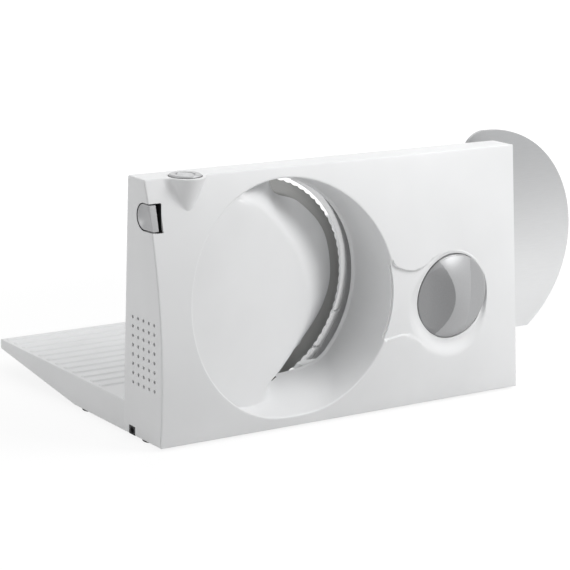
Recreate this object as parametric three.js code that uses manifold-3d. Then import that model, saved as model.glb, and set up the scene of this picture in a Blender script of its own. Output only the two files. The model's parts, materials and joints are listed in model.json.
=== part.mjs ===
// Electric food slicer. Millimetres, +Z up.
// X runs along the housing, +Y points to the food side, and the feet stand on the lowest plane.
// The blade leans back a little, so the blade, its drive and the stop plate live in a tilted "head" group.
// There X runs along the housing, Y is the blade's axis with 0 on the housing's back plane,
// and Z climbs that plane.
import * as THREE from 'three';
import { mergeVertices } from 'three/addons/utils/BufferGeometryUtils.js';
import Module from 'manifold-3d';

const wasm = await Module();
wasm.setup();

// Housing
const HOUSING_LENGTH = 337;
const HOUSING_HEIGHT = 193;
const HOUSING_DEPTH = 55;
const BACK_TILT_DEGREES = 3;
const FRONT_RADIUS = 430;
const FRONT_CREST = 52;
const END_DRAFT = 2.7;
const WALL = 2.5;
const SEAM_DEPTH = 3;
const FIT = 0.3;

// Table behind the housing
const TABLE_REACH = 200;
const TABLE_TOP = 25;
const TABLE_EDGE = 9.2;
const TABLE_PLATE = 3;
const SKIRT_FLAT = 75;
const RIB_HEIGHT = 1.2;
const RIB_WIDTH = 7;
const RIB_PITCH = 14;
const RIB_COUNT = 12;
const RIB_INSET = 4;
const RIB_END = 1.5;

// Base and feet
const BASE_WALL = 4;
const BASE_MARGIN = 18;
const BASE_LEDGE = 10;
const BASE_COVER = 1.9;
const FOOT_RADIUS = 7;
const FOOT_PROUD = 2;
const FOOT_STEM_RADIUS = 2.2;
const FOOT_STEM = 3.4;
const FOOT_END_INSET = 11;
const FRONT_FOOT_Y = 27;
const REAR_FOOT_Y = 118;
const FOOT_BOSS_RADIUS = 8;

// Blade and dish
const BLADE_X = -50;
const BLADE_Z = 93;
const BLADE_RADIUS = 85;
const BLADE_THICKNESS = 1.5;
const BLADE_PROUD = 17;
const WAVE_COUNT = 76;
const WAVE_DEPTH = 0.9;
const DISH_RIM = { x: -50.5, z: 99.5, radius: 90, y: -52 };
const DISH_BACK = { x: -52, z: 95, radius: 87, y: 0 };
const RAMP_BACK_Z = 24;
const RAMP_SLOPE = 0.26;
const COVER_SHIFT = -2.6;
const COVER_RADIUS = 76.2;
const COVER_GAP = 4;
const DOME_FACE = { x: -20, y: -20, z: 105, slopeX: 0.24, slopeZ: 0.05 };
const COVER_SHOULDER = [
  [-88, 177], [-72, 169.5], [-52, 152], [-32, 128.6], [-20, 105],
  [-16.5, 88], [-20, 74], [-34, 55.5], [-50.5, 39.4], [-57, 33],
];
const FLANK_DEGREES = [114, 106, 92, 62, 22, -4, -22, -45, -62, -70];
const COVER_TOP = { face: [-250, 253], blade: [-250, 200] };
const COVER_FOOT = { face: [-66, -40], blade: [-40, -40] };
const COVER_CORNER = [-250, -40];
const COVER_LEAD = 4;
const FLANK_THICKENING = 1.3;
const SLOT_MARGIN = 2;
const GUARD_GAP = 8;
const GUARD_WALL = 3;
const GUARD_PROUD = 15.5;
const GUARD_START_DEGREES = 72;
const GUARD_END_DEGREES = 232;

// Blade drive
const SPINDLE_RADIUS = 5;
const SPINDLE_FLANGE_RADIUS = 18;
const SPINDLE_FLANGE = 3;
const SPINDLE_FRONT_Y = -19;
const SPINDLE_BOSS_RADIUS = 9;
const BEARING_WALL = 3;
const GEAR_MODULE = 2;
const TOOTH_SHARE = 0.42;
const TOOTH_FOOT = 0.7;
const TOOTH_CROWN = 0.3;
const TOOTH_RISE = 1.4;
const TOOTH_DROP = 2;
const BLADE_GEAR_TEETH = 36;
const PINION_TEETH = 12;
const GEAR_BACK_Y = -0.5;
const GEAR_WIDTH = 8;
const GEAR_PLATE_Y = 5;
const GEAR_PLATE = 3;
const GEAR_PLATE_MARGIN = 2;
const AXLE_RADIUS = 3;
const AXLE_RISE = 6.5;
const AXLE_BOSS_RADIUS = 6;
const WORM_WHEEL_TEETH = 32;
const WORM_WHEEL_WIDTH = 8;
const WORM_WHEEL_RADIUS = 24.6;
const WORM_RADIUS = 5.4;
const WORM_ROOT = 3.8;
const WORM_MESH = 0.8;
const WORM_TURNS = 3;
const PLATE_POST_RADIUS = 4.5;
const PLATE_POSTS = [[-75, 45], [-75, 145], [-120, 132]];
const LOCK_RADIUS = 18;
const LOCK_PLATE = 2.5;
const LOCK_GRIP = 4;

// Motor, upright inside the left end, under the worm
const STATOR_SIZE = 32;
const STATOR_LENGTH = 30;
const STATOR_TOP_BELOW_WORM = 45;
const STATOR_BORE = 12;
const ROTOR_RADIUS = 11;
const COIL_RADIUS = 15.5;
const COIL_HEIGHT = 5;
const SHAFT_RADIUS = 3;
const COMMUTATOR_RADIUS = 8;
const COMMUTATOR_LENGTH = 7;
const FAN_RADIUS = 14;
const FAN_HEIGHT = 5;
const FAN_BLADES = 8;
const FAN_DISC = 1.2;
const BRACKET = 3;
const BEARING_RADIUS = 6;
const UPPER_BRACKET_ABOVE = 16;
const LOWER_BRACKET_BELOW = 16;
const BRUSH_HEIGHT = 7;
const BRUSH_WIDTH = 6;

// Stop plate and thickness setting
const PLATE_THICKNESS = 2.5;
const PLATE_TRAVEL = 14;
const PLATE_END = { x: 175, z: 102, radius: 96 };
const PLATE_BOTTOM = 26;
const PLATE_SHOULDER = 186;
const PLATE_CORNER_X = 150;
const PLATE_CORNER_RADIUS = 20;
const PLATE_BLADE_GAP = 2;
const PLATE_HEEL_X = -15;
const KNOB_X = 99;
const KNOB_Z = 84;
const KNOB_RADIUS = 33.2;
const KNOB_FLANGE = 2.4;
const KNOB_HEIGHT = 13;
const KNOB_SCOOP_RADIUS = 42;
const KNOB_SHOULDER = 7;
const KNOB_RIDGE = 15;
const KNOB_RECESS_RADIUS = 37;
const KNOB_FLOOR_Y = -44.5;
const THICKNESS_SPINDLE_RADIUS = 6.3;
const TUBE_CLEARANCE = 0.8;
const TUBE_WALL = 3.3;
const TUBE_LENGTH = 29;
const POST_RADIUS = 4;
const POST_LENGTH = 32;
const POSTS = [[70, 150], [130, 40]];
const BUSH_WALL = 2.5;
const BUSH_LENGTH = 12;

// Buttons
const TOP_BUTTON_X = -134;
const TOP_BUTTON_Y = 22;
const TOP_BUTTON_RADIUS = 11.5;
const TOP_BUTTON_PROUD = 2.5;
const TOP_BUTTON_CAP = 9;
const TOP_BUTTON_TRAVEL = 3;
const RING_WIDTH = 2;
const RING_HEIGHT = 4;
const RING_PROUD = 1.5;
const WELL_DEPTH = 12;
const WELL_ZONE_RADIUS = 18;
const BOSS_DROP = 27;
const BOSS_TIP = { x: -137, y: 19, z: HOUSING_HEIGHT - BOSS_DROP, radius: 5 };
const BUTTON_STEM_RADIUS = 3;
const TOP_STEM = 13;
const SIDE_BUTTON_Y = 26.1;
const SIDE_BUTTON_DROP = 26.7;
const SIDE_BUTTON_FRONT = 20;
const SIDE_BUTTON_ARC_Y = 22;
const SIDE_BUTTON_HEIGHT = 20.5;
const SIDE_BUTTON_CAP = 6;
const SIDE_BUTTON_TRAVEL = 3.3;
const SIDE_STEM = 10;
const POCKET_WALL = 1.5;
const POCKET_DEPTH = 14;
const CAP_DISH = 1.2;
const SCOOP_RADIUS = 30;
const SPRING_WIRE = 0.45;
const SPRING_RADIUS = 5.5;
const SPRING_TURNS = 3;
const COIL_STEPS = 8;
const COIL_SIDES = 5;

// Left end and electrics
const VENT_COLUMNS = 5;
const VENT_ROWS = 8;
const VENT_PITCH_Y = 7.6;
const VENT_PITCH_Z = 7;
const VENT_RADIUS = 1.4;
const VENT_SIDES = 6;
const VENT_Y = 23.5;
const VENT_Z = 65.5;
const NOTCH_Y = 41;
const NOTCH_WIDTH = 9;
const NOTCH_HEIGHT = 7;
const GLAND_LENGTH = 8;
const GLAND_BORE = 2.5;
const SWITCH_BOX = [22, 20, 20];
const SWITCH_GAP = 1.2;
const TERMINAL_BOX = [12, 22, 14];
const TERMINAL_Z = 10;

// Carriage and food holder
const CARRIAGE_LENGTH = 120;
const CARRIAGE_END_X = 160;
const CARRIAGE_BLADE_Y = 76.5;
const CARRIAGE_INSET = 15.5;
const CARRIAGE_PLATE = 3;
const CARRIAGE_WALL_HEIGHT = 92;
const KEEL_DEPTH = 0.9;
const KEEL_CLEARANCE = 0.6;
const HOLDER_INSET = 5.5;
const HOLDER_PLATE = 4;
const HOLDER_WIDTH = 96;
const HOLDER_HEIGHT = 78;
const HOLDER_FLOOR_GAP = 3;
const SADDLE_DEPTH = 40;
const SADDLE_WALL = 3;
const SADDLE_DROP = 26;
const SPIKE_LENGTH = 5;
const SPIKE_RADIUS = 2;
const SPIKE_ROOT = 1;
const SPIKE_SIDES = 8;
const SPIKE_COLUMNS = 4;
const SPIKE_ROWS = 3;

// Screws
const SCREW_RADIUS = 1.5;
const SCREW_HEAD_RADIUS = 3;
const SCREW_HEAD = 1.1;
const BASE_SCREW = 3.2;
const BASE_SCREW_SPREAD = 12;
const HOUSING_SCREW = 12;
const SCREW_BOSS_RADIUS = 4.5;
const HOUSING_SCREWS = [[157, 172], [157, 40], [52, 40], [52, 176]];

const CIRCLE = 48;
const SMALL_CIRCLE = 12;
const REACH = 600;
const COVER_REACH = 250;
const MERGE_TOLERANCE = 1e-4;
const BACK_TILT = THREE.MathUtils.degToRad(BACK_TILT_DEGREES);
const END_X = HOUSING_LENGTH / 2;

const paint = (color, roughness, metalness = 0) =>
  new THREE.MeshStandardMaterial({ color, roughness, metalness });
const FINISH = {
  white: paint(0xf2f3f4, 0.32),
  grey: paint(0xc9ccd0, 0.5),
  silver: paint(0xb9bcc0, 0.3, 0.9),
  steel: paint(0x8d9094, 0.25, 1),
  iron: paint(0x5b5e63, 0.5, 0.8),
  copper: paint(0xb06a3a, 0.4, 0.9),
  brass: paint(0xb9983f, 0.4, 0.9),
  nylon: paint(0xe6e2d4, 0.5),
  rubber: paint(0x2b2c2e, 0.8),
  black: paint(0x1d1e20, 0.6),
};

const part = new THREE.Group();
const base = new THREE.Group();
const head = new THREE.Group();
head.position.set(0, HOUSING_DEPTH, 0);
head.rotation.x = BACK_TILT;
head.updateMatrix();
part.add(base, head);

// A closed mesh becomes a solid with its faces pointing out.
function solid(geometry) {
  const bare = geometry.clone();
  bare.deleteAttribute('normal');
  bare.deleteAttribute('uv');
  const merged = mergeVertices(bare, MERGE_TOLERANCE);
  const points = merged.attributes.position.array;
  const corner = (i) => new THREE.Vector3(points[3 * i], points[3 * i + 1], points[3 * i + 2]);
  const triangles = [];
  let volume = 0;
  for (let i = 0; i < merged.index.count; i += 3) {
    const [a, b, c] = merged.index.array.slice(i, i + 3);
    if (a !== b && b !== c && c !== a) {
      triangles.push([a, b, c]);
      volume += corner(a).dot(corner(b).cross(corner(c)));
    }
  }
  const outward = volume > 0 ? triangles : triangles.map(([a, b, c]) => [a, c, b]);
  return new wasm.Manifold(new wasm.Mesh({
    numProp: 3,
    vertProperties: new Float32Array(points),
    triVerts: new Uint32Array(outward.flat()),
  }));
}

function place(group, name, shape, material) {
  const mesh = shape.getMesh();
  const geometry = new THREE.BufferGeometry();
  geometry.setAttribute('position', new THREE.BufferAttribute(mesh.vertProperties, 3));
  geometry.setIndex(new THREE.BufferAttribute(mesh.triVerts, 1));
  geometry.computeVertexNormals();
  const piece = new THREE.Mesh(geometry, material.clone());
  piece.name = name;
  group.add(piece);
  return piece;
}

const join = (shapes) => shapes.reduce((sum, shape) => sum.add(shape));
const cut = (shape, cutters) => cutters.reduce((rest, cutter) => rest.subtract(cutter), shape);

// Head shapes carried into the upright frame of the housing.
const tilted = (geometry) => geometry.clone().applyMatrix4(head.matrix);

function box(x0, x1, y0, y1, z0, z1) {
  const shape = new THREE.BoxGeometry(x1 - x0, y1 - y0, z1 - z0);
  return shape.translate((x0 + x1) / 2, (y0 + y1) / 2, (z0 + z1) / 2);
}

// Round bar along Y through (x, z).
function bar(radius, x, z, y0, y1, sides = SMALL_CIRCLE) {
  return new THREE.CylinderGeometry(radius, radius, y1 - y0, sides).translate(x, (y0 + y1) / 2, z);
}

// Round bar along Z through (x, y).
function post(radius, x, y, z0, z1, sides = SMALL_CIRCLE) {
  const shape = new THREE.CylinderGeometry(radius, radius, z1 - z0, sides).rotateX(Math.PI / 2);
  return shape.translate(x, y, (z0 + z1) / 2);
}

// Round bar along X through (y, z).
function rail(radius, y, z, x0, x1, sides = SMALL_CIRCLE) {
  const shape = new THREE.CylinderGeometry(radius, radius, x1 - x0, sides).rotateZ(Math.PI / 2);
  return shape.translate((x0 + x1) / 2, y, z);
}

// Solid of revolution about Y through (x, z); profile pairs are [radius, y].
function turned(profile, x, z, sides = SMALL_CIRCLE) {
  const points = profile.map(([radius, y]) => new THREE.Vector2(radius, y));
  return new THREE.LatheGeometry(points, sides).translate(x, 0, z);
}

// The same about an upright axis through (x, y), raised by z.
const upright = (profile, x, y, z, sides = SMALL_CIRCLE) =>
  turned(profile, 0, 0, sides).rotateX(Math.PI / 2).translate(x, y, z);

const sleeve = (inner, outer, y0, y1) => [[inner, y0], [outer, y0], [outer, y1], [inner, y1], [inner, y0]];

// Rings of equal count joined by quads and closed by a fan at each end.
function skin(rings) {
  const count = rings[0].length;
  const middle = (ring) => ring.reduce((sum, p) => sum.add(p), new THREE.Vector3()).divideScalar(count);
  const points = [...rings.flat(), middle(rings[0]), middle(rings.at(-1))];
  const faces = [];
  const first = rings.length * count;
  for (let k = 0; k < count; k += 1) {
    const next = (k + 1) % count;
    for (let r = 0; r + 1 < rings.length; r += 1) {
      const low = r * count;
      const high = low + count;
      faces.push(low + k, low + next, high + next, low + k, high + next, high + k);
    }
    faces.push(first, next, k, first + 1, first - count + k, first - count + next);
  }
  const geometry = new THREE.BufferGeometry();
  geometry.setAttribute('position', new THREE.Float32BufferAttribute(points.flatMap((p) => p.toArray()), 3));
  geometry.setIndex(faces);
  return geometry;
}

function ring(x, y, z, radius, sides = CIRCLE) {
  return Array.from({ length: sides }, (_, k) => {
    const angle = (2 * Math.PI * k) / sides;
    return new THREE.Vector3(x + radius * Math.cos(angle), y, z + radius * Math.sin(angle));
  });
}

const path = (points) => new THREE.Shape(points.map(([a, b]) => new THREE.Vector2(a, b)));

// Outline in (y, z) pushed along X.
function along(points, x0, x1) {
  const shape = new THREE.ExtrudeGeometry(path(points), { depth: x1 - x0, bevelEnabled: false });
  const turn = new THREE.Matrix4().makeBasis(
    new THREE.Vector3(0, 1, 0), new THREE.Vector3(0, 0, 1), new THREE.Vector3(1, 0, 0));
  return shape.applyMatrix4(turn).translate(x0, 0, 0);
}

// Outline in (x, z), as a Shape, pushed along Y.
function through(shape, y0, y1, curveSegments = SMALL_CIRCLE) {
  const body = new THREE.ExtrudeGeometry(shape, { depth: y1 - y0, bevelEnabled: false, curveSegments });
  return body.rotateX(Math.PI / 2).translate(0, y1, 0);
}

// One wire along a helix about the upright axis, as a closed tube; the least gap between turns is printed.
function coil(height, label) {
  const steps = COIL_STEPS * SPRING_TURNS;
  const pitch = (height - 2 * SPRING_WIRE) / SPRING_TURNS;
  console.log(`${label} least gap between turns ${(pitch - 2 * SPRING_WIRE).toFixed(2)} mm`);
  const rings = Array.from({ length: steps + 1 }, (_, k) => {
    const angle = (2 * Math.PI * k) / COIL_STEPS;
    const out = new THREE.Vector3(Math.cos(angle), Math.sin(angle), 0);
    const centre = out.clone().multiplyScalar(SPRING_RADIUS).setZ(SPRING_WIRE + (pitch * k) / COIL_STEPS);
    return Array.from({ length: COIL_SIDES }, (_unused, j) => {
      const around = (2 * Math.PI * j) / COIL_SIDES;
      const rise = new THREE.Vector3(0, 0, SPRING_WIRE * Math.sin(around));
      return centre.clone().addScaledVector(out, SPRING_WIRE * Math.cos(around)).add(rise);
    });
  });
  return skin(rings);
}

// Spur wheel outline with tapered teeth, tooth number 0 at the given angle.
function gearShape(teeth, pitchRadius, addendum, dedendum, toothShare, startAngle) {
  const step = (2 * Math.PI) / teeth;
  const points = [];
  for (let k = 0; k < teeth; k += 1) {
    const angle = startAngle + k * step;
    const root = pitchRadius - dedendum;
    const tip = pitchRadius + addendum;
    const foot = step * toothShare * TOOTH_FOOT;
    const crown = step * toothShare * TOOTH_CROWN;
    for (const [radius, offset] of [[root, -foot], [tip, -crown], [tip, crown], [root, foot]]) {
      points.push([radius * Math.cos(angle + offset), radius * Math.sin(angle + offset)]);
    }
  }
  return path(points);
}

// Housing outline seen from the end
const crestOffset = FRONT_RADIUS - Math.sqrt(FRONT_RADIUS ** 2 - FRONT_CREST ** 2);
const frontY = (z) => FRONT_RADIUS - Math.sqrt(FRONT_RADIUS ** 2 - (z - FRONT_CREST) ** 2) - crestOffset;
const backY = (z) => HOUSING_DEPTH - z * Math.tan(BACK_TILT);
const FACE_STEPS = 6;
const FACE_MARGIN = 40;
const faceLine = (inset, low, high) => Array.from({ length: FACE_STEPS + 1 }, (_, k) => {
  const z = low + ((high - low) * k) / FACE_STEPS;
  return [frontY(z) + inset, z];
});

// Both end faces lean in towards the bottom.
function drafted(geometry) {
  const corners = geometry.attributes.position;
  for (let i = 0; i < corners.count; i += 1) {
    const lean = END_DRAFT * (1 - corners.getZ(i) / HOUSING_HEIGHT);
    corners.setX(i, corners.getX(i) - Math.sign(corners.getX(i)) * lean);
  }
  return geometry;
}

function housingBlock(inset, floor) {
  const top = HOUSING_HEIGHT - inset;
  const outline = [...faceLine(inset, floor, top), [backY(top) - inset, top], [backY(floor) - inset, floor]];
  return solid(drafted(along(outline, inset - END_X, END_X - inset)));
}

// Everything in front of a copy of the front face set back by the given depth.
function aheadOfFace(depth) {
  const low = -FACE_MARGIN;
  const high = HOUSING_HEIGHT + FACE_MARGIN;
  return solid(along([...faceLine(depth, low, high), [-REACH, high], [-REACH, low]], -REACH, REACH));
}

// Dish: a slightly tapered round tunnel from the front face to the back plane, with a ramp for its floor.
function dishRing(y, grow) {
  const share = (y - DISH_RIM.y) / (DISH_BACK.y - DISH_RIM.y);
  const mix = (key) => THREE.MathUtils.lerp(DISH_RIM[key], DISH_BACK[key], share);
  return ring(mix('x'), y, mix('z'), mix('radius') + grow);
}

const tunnel = (grow, y0, y1) => solid(tilted(skin([dishRing(y0, grow), dishRing(y1, grow)])));

function aboveRamp(lower) {
  const low = RAMP_BACK_Z - lower;
  const front = low - REACH * RAMP_SLOPE;
  const back = low + REACH * RAMP_SLOPE;
  return solid(tilted(along([[-REACH, front], [REACH, back], [REACH, REACH + back], [-REACH, REACH + back]],
    -REACH, REACH)));
}

// Gear cover inside the dish: a sloping face that runs into the dish's left rim, and a flank that falls
// from its curved shoulder to a circle close to the blade.
const bladeFront = BLADE_PROUD - BLADE_THICKNESS;
const coverBack = bladeFront - COVER_GAP;
const coverX = BLADE_X + COVER_SHIFT;
const domeY = (x, z) =>
  DOME_FACE.y + DOME_FACE.slopeX * (x - DOME_FACE.x) + DOME_FACE.slopeZ * (z - DOME_FACE.z);

function flankEnd(degrees) {
  const angle = THREE.MathUtils.degToRad(degrees);
  return [coverX + COVER_RADIUS * Math.cos(angle), BLADE_Z + COVER_RADIUS * Math.sin(angle)];
}
const flankLines = [
  [COVER_TOP.face, COVER_TOP.blade],
  ...COVER_SHOULDER.map((point, k) => [point, flankEnd(FLANK_DEGREES[k])]),
  [COVER_FOOT.face, COVER_FOOT.blade],
  [COVER_CORNER, COVER_CORNER],
];

// Outline drawn in by a distance, each corner square to the run between its neighbours.
function drawnIn(points, distance) {
  return points.map(([x, z], k) => {
    const before = points.at(k - 1);
    const after = points[(k + 1) % points.length];
    const run = new THREE.Vector2(after[0] - before[0], after[1] - before[1]).setLength(distance);
    return [x + run.y, z - run.x];
  });
}

// Where the flank lines cross the depth that depthOf gives for each line's shoulder.
function flankRing(depthOf, inset) {
  const depths = flankLines.map(([face]) => depthOf(face));
  const outline = flankLines.map(([face, blade], k) => {
    const shoulderY = domeY(...face);
    const share = (depths[k] - shoulderY) / (coverBack - shoulderY);
    return face.map((value, axis) => THREE.MathUtils.lerp(value, blade[axis], share));
  });
  const drawn = drawnIn(outline, inset * FLANK_THICKENING);
  return drawn.map(([x, z], k) => new THREE.Vector3(x, depths[k], z));
}

function coverSolid(inset, back) {
  const block = box(-COVER_REACH, COVER_REACH, -1, 1, -COVER_REACH, COVER_REACH);
  const corners = block.attributes.position;
  for (let i = 0; i < corners.count; i += 1) {
    const front = domeY(corners.getX(i), corners.getZ(i)) + inset;
    corners.setY(i, corners.getY(i) < 0 ? front : front + REACH);
  }
  const flank = skin([
    flankRing((face) => domeY(...face) - COVER_LEAD, inset),
    flankRing(() => back, inset),
  ]);
  return solid(tilted(flank)).intersect(solid(tilted(block)));
}

const dishMouth = DISH_RIM.y - HOUSING_DEPTH;
const outsideCover = coverSolid(0, coverBack).intersect(tunnel(WALL, dishMouth, BLADE_PROUD));
const insideCover = coverSolid(WALL, coverBack + WALL);
const dishVoid = cut(
  tunnel(0, dishMouth, BLADE_PROUD).intersect(aboveRamp(0)), [coverSolid(0, coverBack)]);
const dishWall = tunnel(WALL, dishMouth, -FIT).intersect(aboveRamp(WALL));

// Front housing
const seamFront = aheadOfFace(SEAM_DEPTH);
const seamRear = aheadOfFace(SEAM_DEPTH + FIT);
const beforeFace = aheadOfFace(0);
const housingOuter = housingBlock(0, 0);
const housingInner = housingBlock(WALL, BASE_WALL);

const wellTop = HOUSING_HEIGHT;
const wellRadius = TOP_BUTTON_RADIUS + FIT;
const ringOuter = wellRadius + RING_WIDTH;
const wellFloor = wellTop - WELL_DEPTH;
const underButton = (radius, z0, z1) => post(radius, TOP_BUTTON_X, TOP_BUTTON_Y, z0, z1, CIRCLE / 2);
const wellZone = underButton(WELL_ZONE_RADIUS, wellFloor - WALL, wellTop);
const wellZoneGap = underButton(WELL_ZONE_RADIUS + FIT, wellFloor - WALL - FIT, wellTop + WALL);
const level = ({ x, y, z, radius }) =>
  ring(x, 0, y, radius, CIRCLE / 2).map((p) => new THREE.Vector3(p.x, p.z, z));
const buttonBoss = skin([
  level(BOSS_TIP),
  level({ x: TOP_BUTTON_X, y: TOP_BUTTON_Y, z: wellTop, radius: WELL_ZONE_RADIUS }),
]);
const buttonWell = [
  underButton(wellRadius, wellFloor, wellTop + WALL),
  underButton(ringOuter + FIT, wellTop - RING_HEIGHT + RING_PROUD, wellTop + WALL),
  underButton(BUTTON_STEM_RADIUS + FIT, wellFloor - 2 * WALL, wellTop),
];

// The catch is flat at the front and round at the back, seen from the end.
const sideButtonZ = HOUSING_HEIGHT - SIDE_BUTTON_DROP;
function catchOutline(grow, front) {
  const radius = SIDE_BUTTON_HEIGHT / 2 + grow;
  const arc = Array.from({ length: SMALL_CIRCLE + 1 }, (_, k) => {
    const angle = Math.PI * (k / SMALL_CIRCLE - 1 / 2);
    return [SIDE_BUTTON_ARC_Y + radius * Math.cos(angle), sideButtonZ + radius * Math.sin(angle)];
  });
  return [[front, sideButtonZ - radius], ...arc, [front, sideButtonZ + radius]];
}
const pocketZ0 = sideButtonZ - SIDE_BUTTON_HEIGHT / 2;
const pocketZ1 = sideButtonZ + SIDE_BUTTON_HEIGHT / 2;
const pocketFloor = POCKET_DEPTH - END_X;
const catchBack = SIDE_BUTTON_CAP - END_X;
const cornerCut = solid(
  box(-REACH, catchBack + SIDE_BUTTON_TRAVEL + FIT, -REACH, SIDE_BUTTON_FRONT, pocketZ0, pocketZ1));
const pocketBlock = (grow, x0, x1) => along(catchOutline(grow, SIDE_BUTTON_FRONT - grow), x0, x1);

const knobFloorWall = KNOB_FLOOR_Y + WALL;
const knobCup = bar(KNOB_RECESS_RADIUS + WALL, KNOB_X, KNOB_Z, -HOUSING_DEPTH * 2, knobFloorWall, CIRCLE);
const knobRecess = bar(KNOB_RECESS_RADIUS, KNOB_X, KNOB_Z, -HOUSING_DEPTH * 2, KNOB_FLOOR_Y, CIRCLE);
const spindleHole = bar(THICKNESS_SPINDLE_RADIUS + FIT, KNOB_X, KNOB_Z, -HOUSING_DEPTH, 0);

const axleX = BLADE_X - Math.sqrt(
  ((GEAR_MODULE * (BLADE_GEAR_TEETH + PINION_TEETH)) / 2 + FIT) ** 2 - AXLE_RISE ** 2);
const axleZ = BLADE_Z + AXLE_RISE;
const motorX = axleX - WORM_WHEEL_RADIUS - WORM_RADIUS + WORM_MESH;
const motorY = -(WALL + FIT + STATOR_SIZE / 2);
const wheelFront = motorY - WORM_WHEEL_WIDTH / 2;
const wheelBack = motorY + WORM_WHEEL_WIDTH / 2;
const gearFront = GEAR_BACK_Y - GEAR_WIDTH;

const SKIN_ROOT = 1;
const coverPosts = [
  ...PLATE_POSTS.map(([x, z]) => bar(PLATE_POST_RADIUS, x, z, domeY(x, z) + SKIN_ROOT, GEAR_PLATE_Y - FIT)),
  bar(SPINDLE_BOSS_RADIUS, BLADE_X, BLADE_Z, domeY(BLADE_X, BLADE_Z) + SKIN_ROOT, gearFront - FIT - WALL),
  bar(AXLE_BOSS_RADIUS, axleX, axleZ, domeY(axleX, axleZ) + SKIN_ROOT, wheelFront - FIT),
];
const coverBores = [
  ...PLATE_POSTS.map(([x, z]) => bar(SCREW_RADIUS + FIT, x, z, GEAR_PLATE_Y - HOUSING_SCREW, GEAR_PLATE_Y)),
  bar(SPINDLE_RADIUS + FIT, BLADE_X, BLADE_Z, SPINDLE_FRONT_Y - FIT, 0),
  bar(AXLE_RADIUS + FIT, axleX, axleZ, wheelFront - BEARING_WALL * 2, 0),
];
const screwBosses = HOUSING_SCREWS.map(
  ([x, z]) => bar(SCREW_BOSS_RADIUS, x, z, -HOUSING_DEPTH * 2, -WALL - FIT));
const screwBores = HOUSING_SCREWS.map(
  ([x, z]) => bar(SCREW_RADIUS + FIT, x, z, -WALL - HOUSING_SCREW, REACH));

const frontPan = cut(housingOuter.intersect(seamFront), [housingInner]);
const headSolids = (shapes) => shapes.map((shape) => solid(tilted(shape)));
const frontInside = join([dishWall, outsideCover, ...headSolids([knobCup, ...screwBosses])]);
const frontTop = solid(wellZone).intersect(housingOuter);
const frontHousing = cut(
  join([
    frontPan,
    cut(frontInside, [insideCover, beforeFace]),
    ...headSolids(coverPosts),
    frontTop,
    solid(buttonBoss).intersect(aheadOfFace(WALL)),
  ]),
  [
    dishVoid,
    ...headSolids([knobRecess, spindleHole, ...coverBores, ...screwBores]),
    ...buttonWell.map(solid),
    solid(pocketBlock(POCKET_WALL + FIT, -REACH, pocketFloor + POCKET_WALL + FIT)),
    cornerCut,
  ]);
place(base, 'front_housing', frontHousing, FINISH.white);

// Rear housing: tub, blade guard and table in one moulding
const tableFar = HOUSING_DEPTH + TABLE_REACH;
const skirtEnd = HOUSING_DEPTH + SKIRT_FLAT;
const deck = TABLE_TOP - RIB_HEIGHT;
const edgeLow = TABLE_TOP - TABLE_EDGE;
const tableRoot = backY(deck) - WALL;
const tableOutline = [
  [tableRoot, 0], [skirtEnd, 0], [tableFar, edgeLow], [tableFar, deck], [tableRoot, deck]];
const hollowTop = deck - TABLE_PLATE;
const hollowOutline = [
  [HOUSING_DEPTH + WALL, -WALL], [tableFar - WALL, -WALL], [tableFar - WALL, hollowTop],
  [HOUSING_DEPTH + WALL, hollowTop]];
const table = solid(drafted(along(tableOutline, -END_X, END_X)));
const tableHollow = solid(drafted(along(hollowOutline, WALL - END_X, END_X - WALL)));
const ribY = (k) => tableFar - RIB_INSET - RIB_WIDTH / 2 - k * RIB_PITCH;
const ribs = Array.from({ length: RIB_COUNT }, (_, k) => {
  const y = ribY(k);
  const crown = RIB_WIDTH / 4;
  return solid(drafted(along([
    [y - RIB_WIDTH / 2, deck - RIB_HEIGHT], [y + RIB_WIDTH / 2, deck - RIB_HEIGHT],
    [y + RIB_WIDTH / 2, deck], [y + crown, TABLE_TOP], [y - crown, TABLE_TOP], [y - RIB_WIDTH / 2, deck]],
  RIB_END - END_X, END_X - RIB_END)));
});

const guardInner = BLADE_RADIUS + GUARD_GAP;
const guardShape = new THREE.Shape();
const guardStart = THREE.MathUtils.degToRad(GUARD_START_DEGREES);
const guardEnd = THREE.MathUtils.degToRad(GUARD_END_DEGREES);
guardShape.absarc(BLADE_X, BLADE_Z, guardInner + GUARD_WALL, guardStart, guardEnd, false);
guardShape.absarc(BLADE_X, BLADE_Z, guardInner, guardEnd, guardStart, true);
const guard = through(guardShape, -WALL, GUARD_PROUD, CIRCLE / 2);

const baseOpening = END_X - BASE_MARGIN;
const baseY0 = frontY(0) + SEAM_DEPTH + WALL;
const baseY1 = backY(0) - WALL * 2;
const baseRebate = box(-baseOpening, baseOpening, baseY0, baseY1, -WALL, BASE_COVER + FIT);
const baseHole = box(
  BASE_LEDGE - baseOpening, baseOpening - BASE_LEDGE, baseY0 + WALL, baseY1 - WALL, -WALL, BASE_WALL + WALL);

const footX = END_X - FOOT_END_INSET;
const footSpots = [FRONT_FOOT_Y, REAR_FOOT_Y].flatMap((y) => [[-footX, y], [footX, y]]);
const rearFootBosses = footSpots.slice(2).map(
  ([x, y]) => solid(post(FOOT_BOSS_RADIUS, x, y, 0, deck - WALL)));
const footHoles = footSpots.map(
  ([x, y]) => solid(post(FOOT_STEM_RADIUS + FIT, x, y, -WALL, FOOT_STEM + FIT)));

const baseScrewSpots = [-1, 1].flatMap((side) => [-1, 1].map((row) => [
  side * (baseOpening - BASE_LEDGE / 2), (baseY0 + baseY1) / 2 + row * BASE_SCREW_SPREAD]));
const baseScrewHoles = baseScrewSpots.map(
  ([x, y]) => solid(post(SCREW_RADIUS + FIT, x, y, -WALL, BASE_WALL + WALL)));

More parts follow.
